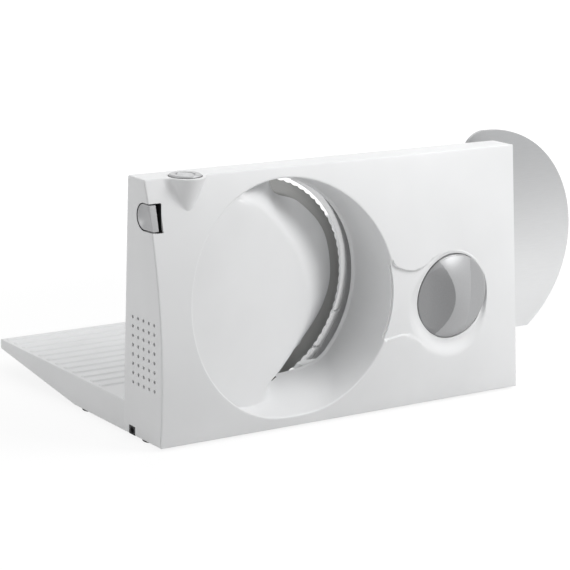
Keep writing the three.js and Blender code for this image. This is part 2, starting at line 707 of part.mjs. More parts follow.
const vents = Array.from({ length: VENT_COLUMNS * VENT_ROWS }, (_, k) => {
  const y = VENT_Y + ((k % VENT_COLUMNS) - (VENT_COLUMNS - 1) / 2) * VENT_PITCH_Y;
  const z = VENT_Z + (Math.floor(k / VENT_COLUMNS) - (VENT_ROWS - 1) / 2) * VENT_PITCH_Z;
  return solid(rail(VENT_RADIUS, y, z, -END_X - WALL, 2 * WALL - END_X, VENT_SIDES));
});
const notch = solid(box(-REACH, GLAND_LENGTH - END_X, NOTCH_Y - NOTCH_WIDTH / 2, NOTCH_Y + NOTCH_WIDTH / 2,
  -WALL, NOTCH_HEIGHT));

const tubeInner = THICKNESS_SPINDLE_RADIUS + TUBE_CLEARANCE;
const tubeOuter = tubeInner + TUBE_WALL;
const bushOuter = POST_RADIUS + FIT + BUSH_WALL;
const bushBosses = POSTS.map(([x, z]) => bar(bushOuter + FIT + WALL, x, z, -BUSH_LENGTH, -WALL / 2));
const bushHoles = POSTS.map(([x, z]) => bar(bushOuter + FIT, x, z, -BUSH_LENGTH - WALL, WALL));
const tubeHole = bar(tubeOuter + FIT, KNOB_X, KNOB_Z, -HOUSING_DEPTH, WALL, CIRCLE / 2);
const bladeSlotBack = BLADE_PROUD + SLOT_MARGIN;
const backHole = tunnel(WALL + FIT, -2 * WALL, bladeSlotBack);
const bladeSlot = bar(BLADE_RADIUS + PLATE_BLADE_GAP, BLADE_X, BLADE_Z, -WALL, bladeSlotBack, CIRCLE);
const screwSeats = HOUSING_SCREWS.map(
  ([x, z]) => bar(SCREW_HEAD_RADIUS + FIT, x, z, -SCREW_HEAD - FIT, WALL));

const pocket = solid(pocketBlock(POCKET_WALL, WALL / 2 - END_X, pocketFloor + POCKET_WALL));
const pocketHollow = solid(pocketBlock(0, -REACH, pocketFloor));
const sideStemHole = solid(rail(
  BUTTON_STEM_RADIUS + FIT, SIDE_BUTTON_Y, sideButtonZ, pocketFloor - WALL, pocketFloor + 2 * POCKET_WALL));

const tub = cut(housingOuter, [
  seamRear, housingInner, backHole, solid(wellZoneGap),
  ...headSolids(screwBores), ...headSolids(screwSeats), ...vents]);
const tableShell = cut(
  join([table, ...ribs]), [tableHollow, housingInner, backHole, solid(tilted(bladeSlot))]);
const rearHousing = cut(
  join([tub, tableShell, ...rearFootBosses, pocket, ...headSolids([guard, ...bushBosses])]),
  [
    pocketHollow, cornerCut, sideStemHole, notch, solid(baseRebate), solid(baseHole),
    ...footHoles, ...baseScrewHoles, ...headSolids([tubeHole, ...bushHoles]),
  ]);
place(base, 'rear_housing', rearHousing, FINISH.white);

// Base cover, feet and screws
const coverGapX = baseOpening - FIT;
const baseCover = cut(
  solid(box(-coverGapX, coverGapX, baseY0 + FIT, baseY1 - FIT, 0, BASE_COVER)),
  baseScrewSpots.flatMap(([x, y]) => [
    solid(post(SCREW_RADIUS + FIT, x, y, -WALL, BASE_COVER + WALL)),
    solid(post(SCREW_HEAD_RADIUS + FIT, x, y, -WALL, SCREW_HEAD + FIT)),
  ]));
place(base, 'base_cover', baseCover, FINISH.white);

// Screw with its head below and its shank along +Y from the head's inner face.
const screwProfile = (shank) => [
  [0, -SCREW_HEAD], [SCREW_HEAD_RADIUS, -SCREW_HEAD], [SCREW_HEAD_RADIUS, 0],
  [SCREW_RADIUS, 0], [SCREW_RADIUS, shank], [0, shank]];

baseScrewSpots.forEach(([x, y], k) => {
  const screw = upright(screwProfile(BASE_SCREW), x, y, SCREW_HEAD);
  place(base, `base_screw_${k + 1}`, solid(screw), FINISH.steel);
});

HOUSING_SCREWS.forEach(([x, z], k) => {
  const screw = turned(screwProfile(HOUSING_SCREW - WALL), 0, 0).rotateX(Math.PI);
  screw.translate(x, -SCREW_HEAD, z);
  place(head, `housing_screw_${k + 1}`, solid(screw), FINISH.steel);
});

footSpots.forEach(([x, y], k) => {
  const profile = [
    [0, -FOOT_PROUD], [FOOT_RADIUS - FOOT_PROUD / 2, -FOOT_PROUD], [FOOT_RADIUS, -FIT],
    [FOOT_STEM_RADIUS, -FIT], [FOOT_STEM_RADIUS, FOOT_STEM], [0, FOOT_STEM]];
  place(base, `foot_${k + 1}`, solid(upright(profile, x, y, 0)), FINISH.rubber);
});

const glandHalf = NOTCH_WIDTH / 2 - FIT;
const glandEnd = GLAND_LENGTH - END_X - FIT;
const glandBlock = box(
  END_DRAFT - END_X, glandEnd, NOTCH_Y - glandHalf, NOTCH_Y + glandHalf, FIT, NOTCH_HEIGHT - FIT);
const glandBore = rail(GLAND_BORE, NOTCH_Y, NOTCH_HEIGHT / 2, -END_X - WALL, glandEnd + WALL);
place(base, 'cord_gland', cut(solid(glandBlock), [solid(glandBore)]), FINISH.rubber);

// Blade with a wavy edge, on the flange of its spindle
const bladeShape = new THREE.Shape();
const WAVE_STEPS = 2;
for (let k = 0; k < WAVE_COUNT * WAVE_STEPS; k += 1) {
  const angle = (2 * Math.PI * k) / (WAVE_COUNT * WAVE_STEPS);
  const radius = BLADE_RADIUS - WAVE_DEPTH * Math.sin((Math.PI * (k % WAVE_STEPS)) / WAVE_STEPS);
  const point = [BLADE_X + radius * Math.cos(angle), BLADE_Z + radius * Math.sin(angle)];
  if (k === 0) bladeShape.moveTo(...point);
  else bladeShape.lineTo(...point);
}
const bladeBore = SPINDLE_RADIUS + FIT;
const blade = cut(
  solid(through(bladeShape, bladeFront, BLADE_PROUD)),
  [solid(bar(bladeBore, BLADE_X, BLADE_Z, 0, BLADE_PROUD + WALL))]);
place(head, 'blade', blade, FINISH.steel);

const flangeBack = bladeFront - FIT;
const spindleProfile = [
  [0, SPINDLE_FRONT_Y], [SPINDLE_RADIUS, SPINDLE_FRONT_Y], [SPINDLE_RADIUS, flangeBack - SPINDLE_FLANGE],
  [SPINDLE_FLANGE_RADIUS, flangeBack - SPINDLE_FLANGE], [SPINDLE_FLANGE_RADIUS, flangeBack],
  [SPINDLE_RADIUS, flangeBack], [SPINDLE_RADIUS, BLADE_PROUD + LOCK_PLATE], [0, BLADE_PROUD + LOCK_PLATE]];
place(head, 'blade_spindle', solid(turned(spindleProfile, BLADE_X, BLADE_Z, CIRCLE / 2)), FINISH.steel);

// Bayonet cap on the food side of the blade, with a bar to grip
const lockFront = BLADE_PROUD + FIT;
const lockCap = turned([
  [0, lockFront], [LOCK_RADIUS, lockFront], [LOCK_RADIUS - LOCK_PLATE / 2, lockFront + LOCK_PLATE],
  [0, lockFront + LOCK_PLATE]], BLADE_X, BLADE_Z, CIRCLE / 2);
const gripHalf = LOCK_RADIUS - LOCK_GRIP;
const lockGrip = box(
  BLADE_X - gripHalf, BLADE_X + gripHalf, lockFront + LOCK_PLATE / 2, lockFront + LOCK_PLATE + LOCK_GRIP,
  BLADE_Z - LOCK_GRIP / 2, BLADE_Z + LOCK_GRIP / 2);
const lockSocket = bar(SPINDLE_RADIUS + FIT, BLADE_X, BLADE_Z, 0, BLADE_PROUD + LOCK_PLATE + FIT);
place(head, 'blade_lock', cut(solid(lockCap).add(solid(lockGrip)), [solid(lockSocket)]), FINISH.grey);

// Spur pair: the blade's gear and the pinion, in mesh on the line between their axles
const gearAngle = Math.atan2(axleZ - BLADE_Z, axleX - BLADE_X);
const bladeGearShape = gearShape(
  BLADE_GEAR_TEETH, (GEAR_MODULE * BLADE_GEAR_TEETH) / 2, TOOTH_RISE, TOOTH_DROP, TOOTH_SHARE, gearAngle);
const bladeGear = cut(
  solid(through(bladeGearShape, gearFront, GEAR_BACK_Y).translate(BLADE_X, 0, BLADE_Z)),
  [solid(bar(SPINDLE_RADIUS + FIT, BLADE_X, BLADE_Z, gearFront - WALL, WALL))]);
place(head, 'blade_gear', bladeGear, FINISH.nylon);

const pinionShape = gearShape(
  PINION_TEETH, (GEAR_MODULE * PINION_TEETH) / 2, TOOTH_RISE, TOOTH_DROP, TOOTH_SHARE,
  gearAngle + Math.PI + Math.PI / PINION_TEETH);
const wormPitch = (2 * Math.PI * WORM_WHEEL_RADIUS) / WORM_WHEEL_TEETH;
const wheelShape = gearShape(
  WORM_WHEEL_TEETH, WORM_WHEEL_RADIUS - WORM_MESH, WORM_MESH, TOOTH_DROP, TOOTH_SHARE,
  Math.PI + Math.PI / WORM_WHEEL_TEETH);
const wheel = solid(through(wheelShape, wheelFront, wheelBack));
const pinion = solid(through(pinionShape, motorY, GEAR_BACK_Y));
const intermediateGear = cut(
  wheel.add(pinion), [solid(bar(AXLE_RADIUS + FIT, 0, 0, wheelFront - WALL, WALL))]);
place(head, 'intermediate_gear', intermediateGear, FINISH.nylon).position.set(axleX, 0, axleZ);

const axleFront = wheelFront - BEARING_WALL * 2 + FIT;
place(head, 'intermediate_axle',
  solid(bar(AXLE_RADIUS, axleX, axleZ, axleFront, GEAR_PLATE_Y + GEAR_PLATE)), FINISH.steel);

// Plate that closes the gear chamber behind the cover and holds the spindle's bush
const plateSlab = box(-REACH, REACH, GEAR_PLATE_Y, GEAR_PLATE_Y + GEAR_PLATE, -REACH, REACH);
const gearPlate = cut(
  coverSolid(WALL + FIT, coverBack).intersect(solid(tilted(plateSlab)))
    .intersect(tunnel(-GEAR_PLATE_MARGIN, -WALL, BLADE_PROUD)).intersect(aboveRamp(0)),
  headSolids([
    bar(SPINDLE_RADIUS + FIT + BEARING_WALL + FIT, BLADE_X, BLADE_Z, 0, BLADE_PROUD),
    bar(AXLE_RADIUS + FIT, axleX, axleZ, 0, BLADE_PROUD),
    ...PLATE_POSTS.map(([x, z]) => bar(SCREW_RADIUS + FIT, x, z, 0, BLADE_PROUD)),
  ]));
place(base, 'gear_plate', gearPlate, FINISH.grey);

const bushInner = SPINDLE_RADIUS + FIT;
const bushSpan = sleeve(bushInner, bushInner + BEARING_WALL, GEAR_PLATE_Y - WALL, GEAR_PLATE_Y + GEAR_PLATE);
place(head, 'spindle_bush', solid(turned(bushSpan, BLADE_X, BLADE_Z)), FINISH.brass);

PLATE_POSTS.forEach(([x, z], k) => {
  const screw = turned(screwProfile(HOUSING_SCREW - GEAR_PLATE), 0, 0).rotateX(Math.PI)
    .translate(x, GEAR_PLATE_Y + GEAR_PLATE + FIT, z);
  place(head, `gear_plate_screw_${k + 1}`, solid(screw), FINISH.steel);
});

// Motor: armature with its worm, stator, windings, commutator, fan, brackets and bearings
const wormLength = WORM_TURNS * wormPitch;
const wormLow = axleZ - wormLength / 2;
const statorTop = axleZ - STATOR_TOP_BELOW_WORM;
const statorLow = statorTop - STATOR_LENGTH;
const upperBracket = statorTop + UPPER_BRACKET_ABOVE;
const lowerBracket = statorLow - LOWER_BRACKET_BELOW;
const WORM_SIDES = 12;
const WORM_RINGS_PER_TURN = 7;
const CREST_SHARE = 0.28;
const FLANK_SHARE = 0.14;

// Worm radius at a share of one thread, crest in the middle of a straight-sided thread.
function threadRadius(share) {
  const away = Math.abs(share - Math.floor(share) - 0.5);
  const rise = THREE.MathUtils.clamp((CREST_SHARE / 2 + FLANK_SHARE - away) / FLANK_SHARE, 0, 1);
  return WORM_ROOT + (WORM_RADIUS - WORM_ROOT) * rise;
}
const wormRings = Array.from({ length: WORM_TURNS * WORM_RINGS_PER_TURN + 1 }, (_, k) => {
  const climb = k / WORM_RINGS_PER_TURN;
  return Array.from({ length: WORM_SIDES }, (_unused, j) => {
    const angle = (2 * Math.PI * j) / WORM_SIDES;
    const radius = threadRadius(climb - angle / (2 * Math.PI));
    const at = [motorX + radius * Math.cos(angle), motorY + radius * Math.sin(angle)];
    return new THREE.Vector3(...at, wormLow + climb * wormPitch);
  });
});
const shaftLow = lowerBracket - FIT;
const armature = join([
  solid(post(SHAFT_RADIUS, motorX, motorY, shaftLow, wormLow + wormLength + WALL)),
  solid(skin(wormRings)),
  solid(post(ROTOR_RADIUS, motorX, motorY, statorLow, statorTop, CIRCLE / 2)),
]);
place(head, 'motor_armature', armature, FINISH.iron);

const motorHalf = STATOR_SIZE / 2;
const motorBlock = (low, high) =>
  box(motorX - motorHalf, motorX + motorHalf, motorY - motorHalf, motorY + motorHalf, low, high);
const stator = cut(
  solid(motorBlock(statorLow, statorTop)),
  [solid(post(STATOR_BORE, motorX, motorY, statorLow - WALL, statorTop + WALL, CIRCLE / 2))]);
place(head, 'motor_stator', stator, FINISH.iron);

const coilRing = sleeve(STATOR_BORE, COIL_RADIUS, 0, COIL_HEIGHT);
place(head, 'field_coil_upper', solid(upright(coilRing, motorX, motorY, statorTop + FIT)), FINISH.copper);
place(head, 'field_coil_lower', solid(upright(coilRing, motorX, motorY, statorLow - COIL_HEIGHT - FIT)),
  FINISH.copper);

const brushTop = upperBracket - FIT;
const commutatorLow = brushTop - BRUSH_HEIGHT;
const collar = sleeve(SHAFT_RADIUS + FIT, COMMUTATOR_RADIUS, 0, COMMUTATOR_LENGTH);
place(head, 'commutator', solid(upright(collar, motorX, motorY, commutatorLow)), FINISH.copper);
[-1, 1].forEach((side, k) => {
  const near = motorX + side * (COMMUTATOR_RADIUS + FIT);
  const far = motorX + side * motorHalf;
  const brush = box(
    Math.min(near, far), Math.max(near, far), motorY - BRUSH_WIDTH / 2, motorY + BRUSH_WIDTH / 2,
    commutatorLow, brushTop);
  place(head, `brush_holder_${k + 1}`, solid(brush), FINISH.black);
});

const fanLow = lowerBracket + BRACKET + 2 * FIT;
const onShaft = (radius, height) =>
  solid(upright(sleeve(SHAFT_RADIUS + FIT, radius, 0, height), motorX, motorY, fanLow));
const fanBlades = Array.from({ length: FAN_BLADES }, (_, k) => solid(
  box(COMMUTATOR_RADIUS - FAN_DISC, FAN_RADIUS, -FAN_DISC / 2, FAN_DISC / 2, 0, FAN_HEIGHT)
    .rotateZ((2 * Math.PI * k) / FAN_BLADES).translate(motorX, motorY, fanLow)));
const fan = join([onShaft(COMMUTATOR_RADIUS, FAN_HEIGHT), onShaft(FAN_RADIUS, FAN_DISC), ...fanBlades]);
place(head, 'motor_fan', fan, FINISH.black);

[['lower', lowerBracket], ['upper', upperBracket]].forEach(([label, low]) => {
  const bracket = cut(
    solid(motorBlock(low, low + BRACKET)),
    [solid(post(BEARING_RADIUS + FIT, motorX, motorY, low - WALL, low + BRACKET + WALL))]);
  place(head, `motor_bracket_${label}`, bracket, FINISH.grey);
  const bearing = sleeve(SHAFT_RADIUS + FIT, BEARING_RADIUS, 0, BRACKET);
  place(head, `motor_bearing_${label}`, solid(upright(bearing, motorX, motorY, low)), FINISH.brass);
});

// Stop plate: round-ended sheet that clears the blade on its left, with its drive tube and guide posts
const plateFront = BLADE_PROUD - PLATE_THICKNESS;
const clearRadius = BLADE_RADIUS + PLATE_BLADE_GAP;
const bladeAngleAt = (z) => Math.asin((z - BLADE_Z) / clearRadius);
const heelAngle = Math.acos((PLATE_HEEL_X - BLADE_X) / clearRadius);
const endAngleAt = (z) => Math.asin((z - PLATE_END.z) / PLATE_END.radius);
const cornerZ = PLATE_END.z + PLATE_END.radius - PLATE_CORNER_RADIUS;
const plateShape = new THREE.Shape();
plateShape.absarc(BLADE_X, BLADE_Z, clearRadius, heelAngle, bladeAngleAt(PLATE_BOTTOM), true);
plateShape.absarc(PLATE_END.x, PLATE_END.z, PLATE_END.radius, endAngleAt(PLATE_BOTTOM), Math.PI / 2, false);
plateShape.absarc(
  PLATE_CORNER_X + PLATE_CORNER_RADIUS, cornerZ, PLATE_CORNER_RADIUS, Math.PI / 2, Math.PI, false);
plateShape.lineTo(PLATE_CORNER_X, PLATE_SHOULDER);
plateShape.lineTo(PLATE_HEEL_X, PLATE_SHOULDER);
place(head, 'stop_plate', solid(through(plateShape, plateFront, BLADE_PROUD, CIRCLE / 2)), FINISH.grey);

const tubeEnd = plateFront - FIT;
const tubeSpan = sleeve(tubeInner, tubeOuter, tubeEnd - TUBE_LENGTH, tubeEnd);
place(head, 'drive_tube', solid(turned(tubeSpan, KNOB_X, KNOB_Z, CIRCLE / 2)), FINISH.nylon);
POSTS.forEach(([x, z], k) => {
  const stem = bar(POST_RADIUS, x, z, tubeEnd - POST_LENGTH, tubeEnd);
  place(head, `guide_post_${k + 1}`, solid(stem), FINISH.steel);
  const bush = turned(sleeve(POST_RADIUS + FIT, bushOuter, -BUSH_LENGTH, 0), x, z);
  place(head, `guide_bush_${k + 1}`, solid(bush), FINISH.brass);
});

// Thickness knob: a low dome with two scoops that leave an upright grip ridge
const knobBack = KNOB_FLOOR_Y - FIT;
const knobTop = knobBack - KNOB_HEIGHT;
const knobRim = knobBack - KNOB_FLANGE;
const knobDome = turned([
  [0, knobBack], [KNOB_RADIUS, knobBack], [KNOB_RADIUS, knobRim],
  [KNOB_RADIUS - KNOB_SHOULDER, knobTop + KNOB_FLANGE], [KNOB_RADIUS / 2, knobTop], [0, knobTop]],
KNOB_X, KNOB_Z, CIRCLE);
const scoops = [-1, 1].map((side) => post(
  KNOB_SCOOP_RADIUS, KNOB_X + side * (KNOB_SCOOP_RADIUS + KNOB_RIDGE / 2), 0, KNOB_Z - KNOB_RADIUS * 2,
  KNOB_Z + KNOB_RADIUS * 2, CIRCLE).translate(0, knobRim - KNOB_SCOOP_RADIUS / 2, 0));
const scoopLimit = box(-REACH, REACH, -REACH, knobRim, -REACH, REACH);
const knob = cut(solid(knobDome), scoops.map((scoop) => solid(scoop).intersect(solid(scoopLimit))));
const knobSocket = bar(THICKNESS_SPINDLE_RADIUS + FIT, KNOB_X, KNOB_Z, knobRim, knobBack + WALL);
place(head, 'thickness_knob', cut(knob, [solid(knobSocket)]), FINISH.silver);
const spindleEnd = plateFront - PLATE_TRAVEL - FIT - WALL / 2;
place(head, 'thickness_spindle',
  solid(bar(THICKNESS_SPINDLE_RADIUS, KNOB_X, KNOB_Z, knobRim + FIT, spindleEnd)), FINISH.nylon);

// Top button in its ring, and the catch that wraps the left front corner, each on a spring
const capTop = wellTop + TOP_BUTTON_PROUD;
const capLow = capTop - TOP_BUTTON_CAP;
const topButton = upright([
  [0, capLow - TOP_STEM], [BUTTON_STEM_RADIUS, capLow - TOP_STEM], [BUTTON_STEM_RADIUS, capLow],
  [TOP_BUTTON_RADIUS, capLow], [TOP_BUTTON_RADIUS, capTop - CAP_DISH], [TOP_BUTTON_RADIUS - CAP_DISH, capTop],
  [TOP_BUTTON_RADIUS / 2, capTop - CAP_DISH / 2], [0, capTop - CAP_DISH]],
TOP_BUTTON_X, TOP_BUTTON_Y, 0, CIRCLE / 2);
place(base, 'on_off_button', solid(topButton), FINISH.silver);
const ringLow = wellTop - RING_HEIGHT + RING_PROUD + FIT;
const ringProfile = sleeve(wellRadius, ringOuter, ringLow, wellTop + RING_PROUD);
const buttonRing = upright(ringProfile, TOP_BUTTON_X, TOP_BUTTON_Y, 0, CIRCLE / 2);
place(base, 'button_ring', solid(buttonRing), FINISH.silver);
const topSpring = coil(capLow - wellFloor - 2 * FIT, 'on_off_spring');
topSpring.translate(TOP_BUTTON_X, TOP_BUTTON_Y, wellFloor + FIT);
place(base, 'on_off_spring', solid(topSpring), FINISH.steel);

const catchCap = solid(along(catchOutline(-FIT, -REACH), -REACH, catchBack)).intersect(housingOuter);
const catchStem = rail(
  BUTTON_STEM_RADIUS, SIDE_BUTTON_Y, sideButtonZ, catchBack - WALL, catchBack + SIDE_STEM);
const catchScoop = new THREE.SphereGeometry(SCOOP_RADIUS, CIRCLE / 2, CIRCLE / 4)
  .translate(-END_X - SCOOP_RADIUS + CAP_DISH, SIDE_BUTTON_Y, sideButtonZ);
place(base, 'safety_button', cut(catchCap.add(solid(catchStem)), [solid(catchScoop)]), FINISH.silver);
const sideSpring = coil(pocketFloor - catchBack - 2 * FIT, 'safety_spring').rotateY(Math.PI / 2);
sideSpring.translate(catchBack + FIT, SIDE_BUTTON_Y, sideButtonZ);
place(base, 'safety_spring', solid(sideSpring), FINISH.steel);

// Switch under the top button and terminals by the cord outlet, both against the back wall
const switchTop = capLow - TOP_STEM - TOP_BUTTON_TRAVEL - SWITCH_GAP;
const switchBack = backY(switchTop) - WALL - FIT;
const [switchWide, switchDeep, switchHigh] = SWITCH_BOX;
const switchBox = box(
  TOP_BUTTON_X - switchWide / 2, TOP_BUTTON_X + switchWide / 2, switchBack - switchDeep, switchBack,
  switchTop - switchHigh, switchTop);
place(base, 'switch_body', solid(switchBox), FINISH.black);
const terminalLeft = WALL + FIT + END_DRAFT - END_X;
const [terminalWide, terminalDeep, terminalHigh] = TERMINAL_BOX;
const terminalBack = backY(TERMINAL_Z + terminalHigh) - WALL - FIT;
const terminals = box(
  terminalLeft, terminalLeft + terminalWide, terminalBack - terminalDeep, terminalBack,
  TERMINAL_Z, TERMINAL_Z + terminalHigh);
place(base, 'terminal_block', solid(terminals), FINISH.black);

// Carriage on the table's ribs, and the food holder that rides on its wall
const carriageStart = CARRIAGE_END_X - CARRIAGE_LENGTH;
const carriageLow = TABLE_TOP + FIT;
const carriageFloor = carriageLow + CARRIAGE_PLATE;
const carriageFar = tableFar - CARRIAGE_INSET;
const wallTop = carriageFloor + CARRIAGE_WALL_HEIGHT;
const wallNear = CARRIAGE_END_X - CARRIAGE_PLATE;
const grooveWidth = RIB_PITCH - RIB_WIDTH;
const keels = [1, RIB_COUNT - 4].map((k) => {
  const y = ribY(k) - RIB_PITCH / 2;
  const half = grooveWidth / 2 - KEEL_CLEARANCE;
  return solid(box(carriageStart, CARRIAGE_END_X, y - half, y + half, TABLE_TOP - KEEL_DEPTH, carriageFloor));
});
const carriage = join([
  solid(box(carriageStart, CARRIAGE_END_X, CARRIAGE_BLADE_Y, carriageFar, carriageLow, carriageFloor)),
  solid(box(wallNear, CARRIAGE_END_X, CARRIAGE_BLADE_Y, carriageFar, carriageLow, wallTop)),
  ...keels,
]);
place(base, 'carriage', carriage, FINISH.white);

const saddleTop = wallTop + FIT + SADDLE_WALL;
const saddleLow = wallTop - SADDLE_DROP;
const saddleNear = wallNear - FIT - SADDLE_WALL;
const saddleFar = CARRIAGE_END_X + FIT + SADDLE_WALL;
const saddleEnd = carriageFar - HOLDER_INSET;
const saddleStart = saddleEnd - SADDLE_DEPTH;
const pusherLow = carriageFloor + HOLDER_FLOOR_GAP;
const spikes = Array.from({ length: SPIKE_COLUMNS * SPIKE_ROWS }, (_, k) => {
  const column = k % SPIKE_COLUMNS;
  const row = Math.floor(k / SPIKE_COLUMNS);
  const x = saddleNear - (HOLDER_WIDTH * (column + 0.5)) / SPIKE_COLUMNS;
  const z = pusherLow + (HOLDER_HEIGHT * (row + 0.5)) / SPIKE_ROWS;
  return solid(new THREE.ConeGeometry(SPIKE_RADIUS, SPIKE_LENGTH + SPIKE_ROOT, SPIKE_SIDES).rotateX(Math.PI)
    .translate(x, saddleStart + (SPIKE_ROOT - SPIKE_LENGTH) / 2, z));
});
const holder = join([
  solid(box(saddleNear, saddleFar, saddleStart, saddleEnd, saddleLow, saddleTop)),
  solid(box(saddleNear - HOLDER_WIDTH, saddleNear + SADDLE_WALL, saddleStart, saddleStart + HOLDER_PLATE,
    pusherLow, pusherLow + HOLDER_HEIGHT)),
  ...spikes,
]);
const saddleSlot = box(
  wallNear - FIT, CARRIAGE_END_X + FIT, saddleStart - WALL, saddleEnd + WALL, 0, wallTop + FIT);
place(base, 'food_holder', cut(holder, [solid(saddleSlot)]), FINISH.white);

// The part's origin is the middle of its footprint, on the plane under the feet.
part.updateMatrixWorld(true);
const bounds = new THREE.Box3().setFromObject(part, true);
const middle = bounds.getCenter(new THREE.Vector3());
part.position.set(-middle.x, -middle.y, -bounds.min.z);
part.updateMatrixWorld(true);

export default part;
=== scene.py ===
# %% [markdown]
# # An upright electric food slicer
#
# The slicer stands on four feet. A tall white housing carries the drive. On its front a round dish opens
# towards the blade, with the gear cover standing in it, and a silver knob sets the slice thickness.
# Behind the housing lie the ribbed table, the stop plate, the carriage and the food holder.
#
# The solids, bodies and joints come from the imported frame. This lesson dresses them: each visible piece is
# a surface worked out with numpy, laid where the frame's solid is, and given a procedural finish.

import json
import math

import bmesh
import bpy
import numpy as np
from mathutils import Matrix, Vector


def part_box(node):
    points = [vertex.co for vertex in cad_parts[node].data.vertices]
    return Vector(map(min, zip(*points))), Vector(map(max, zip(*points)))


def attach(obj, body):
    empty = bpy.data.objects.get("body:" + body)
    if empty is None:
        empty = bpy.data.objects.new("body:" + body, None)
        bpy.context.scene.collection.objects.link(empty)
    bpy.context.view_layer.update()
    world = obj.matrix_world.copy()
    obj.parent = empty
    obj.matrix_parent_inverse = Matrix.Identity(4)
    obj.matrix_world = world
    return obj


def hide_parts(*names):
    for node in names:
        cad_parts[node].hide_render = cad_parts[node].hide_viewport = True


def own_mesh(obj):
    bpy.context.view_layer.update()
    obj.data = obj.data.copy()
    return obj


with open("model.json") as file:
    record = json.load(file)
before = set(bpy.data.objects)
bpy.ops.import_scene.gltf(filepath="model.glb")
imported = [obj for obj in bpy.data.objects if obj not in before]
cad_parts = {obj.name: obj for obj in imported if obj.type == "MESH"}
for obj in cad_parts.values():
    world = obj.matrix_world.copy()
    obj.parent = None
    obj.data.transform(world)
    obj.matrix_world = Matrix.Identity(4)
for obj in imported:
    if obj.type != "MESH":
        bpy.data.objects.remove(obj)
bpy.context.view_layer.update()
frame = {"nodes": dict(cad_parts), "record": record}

# %% [markdown]
# ## The drawing frame
#
# The housing is easiest to think about in millimetres from its own middle: x = 0 in the middle of its
# length, y = 0 at the foot of the front, z = 0 on its underside. One shift, read from the rear housing's
# box, carries a drawing into the frame. The blade leans back by three degrees, so its pieces are drawn
# on the leaning back plane: u along the housing, v out of the plane, w up the plane.

# %% Drawing frame
MM = 0.001
DEPTH = 55.0
TABLE_FAR = 255.0
LEAN = math.radians(3)

rear_low, rear_high = (np.array(corner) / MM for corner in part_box("rear_housing"))
SHIFT = np.array([(rear_low[0] + rear_high[0]) / 2, rear_high[1] - TABLE_FAR, rear_low[2]])
LENGTH = rear_high[0] - rear_low[0]
HEIGHT = rear_high[2] - rear_low[2]


def points(x, y, z):
    """Three arrays of any matching shapes become one array of points."""
    return np.stack(np.broadcast_arrays(x, y, z), axis=-1).astype(float)


def lean(u, v, w):
    """Leaning plane to drawing: x = u, y = depth + v cos a - w sin a, z = v sin a + w cos a."""
    u, v, w = np.broadcast_arrays(u, v, w)
    c, s = math.cos(LEAN), math.sin(LEAN)
    return points(u, DEPTH + v * c - w * s, v * s + w * c)


def in_plane(p):
    """Drawing to leaning plane, the way back from lean."""
    c, s = math.cos(LEAN), math.sin(LEAN)
    y = p[..., 1] - DEPTH
    return points(p[..., 0], y * c + p[..., 2] * s, p[..., 2] * c - y * s)


def in_frame(p):
    """A drawn point in the frame's metres: (point + shift) / 1000."""
    return (p + SHIFT) * MM


print("housing", round(LENGTH, 1), "x", round(HEIGHT, 1), "mm, shift", np.round(SHIFT, 3))

# %% [markdown]
# ## The photograph's view
#
# The camera comes first, because every piece is judged through it. It stands in front and to the left,
# a little above the slicer, turned by a degree about its own axis, with a long lens.

# %% Camera
AZIMUTH, ELEVATION, ROLL = (math.radians(a) for a in (-34.252, 13.213, 1.197))
FOCAL_PIXELS, FRAME_PIXELS, SENSOR = 2090.482, 570, 36.0
CAMERA_PLACE = np.array([-0.9512, -1.3555, 0.4612])

level_back = math.cos(ELEVATION)
back = np.array([math.sin(AZIMUTH) * level_back, -math.cos(AZIMUTH) * level_back, math.sin(ELEVATION)])
right = np.cross([0, 0, 1], back)
right /= np.linalg.norm(right)
up = np.cross(back, right)
turned_right = math.cos(ROLL) * right + math.sin(ROLL) * up
turned_up = -math.sin(ROLL) * right + math.cos(ROLL) * up

lens = bpy.data.cameras.new("photo_view")
lens.sensor_width = SENSOR
lens.lens = FOCAL_PIXELS / FRAME_PIXELS * SENSOR
camera = bpy.data.objects.new("photo_view", lens)
pose = np.eye(4)
pose[:3, 0], pose[:3, 1], pose[:3, 2], pose[:3, 3] = turned_right, turned_up, back, CAMERA_PLACE
camera.matrix_world = Matrix(pose.tolist())
bpy.context.scene.collection.objects.link(camera)
bpy.context.scene.camera = camera
print("lens", round(lens.lens, 1), "mm")

# %% [markdown]
# ## Tools for surfaces
#
# Every shape below is a grid of points or a ring of points carried along a path. The first helpers number
# the grid's cells and put the arrays into a mesh in one go, which is far quicker than adding one vertex
# after another.

# %% Grids
def cells(rows, columns, wrap):
    """Corner numbers of each cell of a grid: (i, j), (i, j+1), (i+1, j+1), (i+1, j)."""
    i, j = np.meshgrid(np.arange(rows - 1), np.arange(columns if wrap else columns - 1), indexing="ij")
    k = (j + 1) % columns
    row, next_row = i * columns, (i + 1) * columns
    return np.stack([row + j, row + k, next_row + k, next_row + j], -1).reshape(-1, 4)


def skin(rings, wrap=True, caps=(False, False)):
    """A stack of rings as one sheet; caps close the first and the last ring with one flat face each."""
    rows, columns = rings.shape[:2]
    faces = [cells(rows, columns, wrap)]
    ends = [np.arange(columns)[::-1], np.arange(columns) + (rows - 1) * columns]
    faces += [end[None] for end, wanted in zip(ends, caps) if wanted]
    return rings.reshape(-1, 3), faces


print("a grid of 3 by 4 points has", len(cells(3, 4, False)), "cells, wrapped round", len(cells(3, 4, True)))


# %% From arrays to a mesh
MERGE_MM = 0.004
SHARP = 32


def settle(mesh, sharp):
    """Smooth shading, with edges over the angle left sharp."""
    mesh.polygons.foreach_set("use_smooth", np.ones(len(mesh.polygons), dtype=bool))
    mesh.set_sharp_from_angle(angle=math.radians(sharp))
    mesh.update()


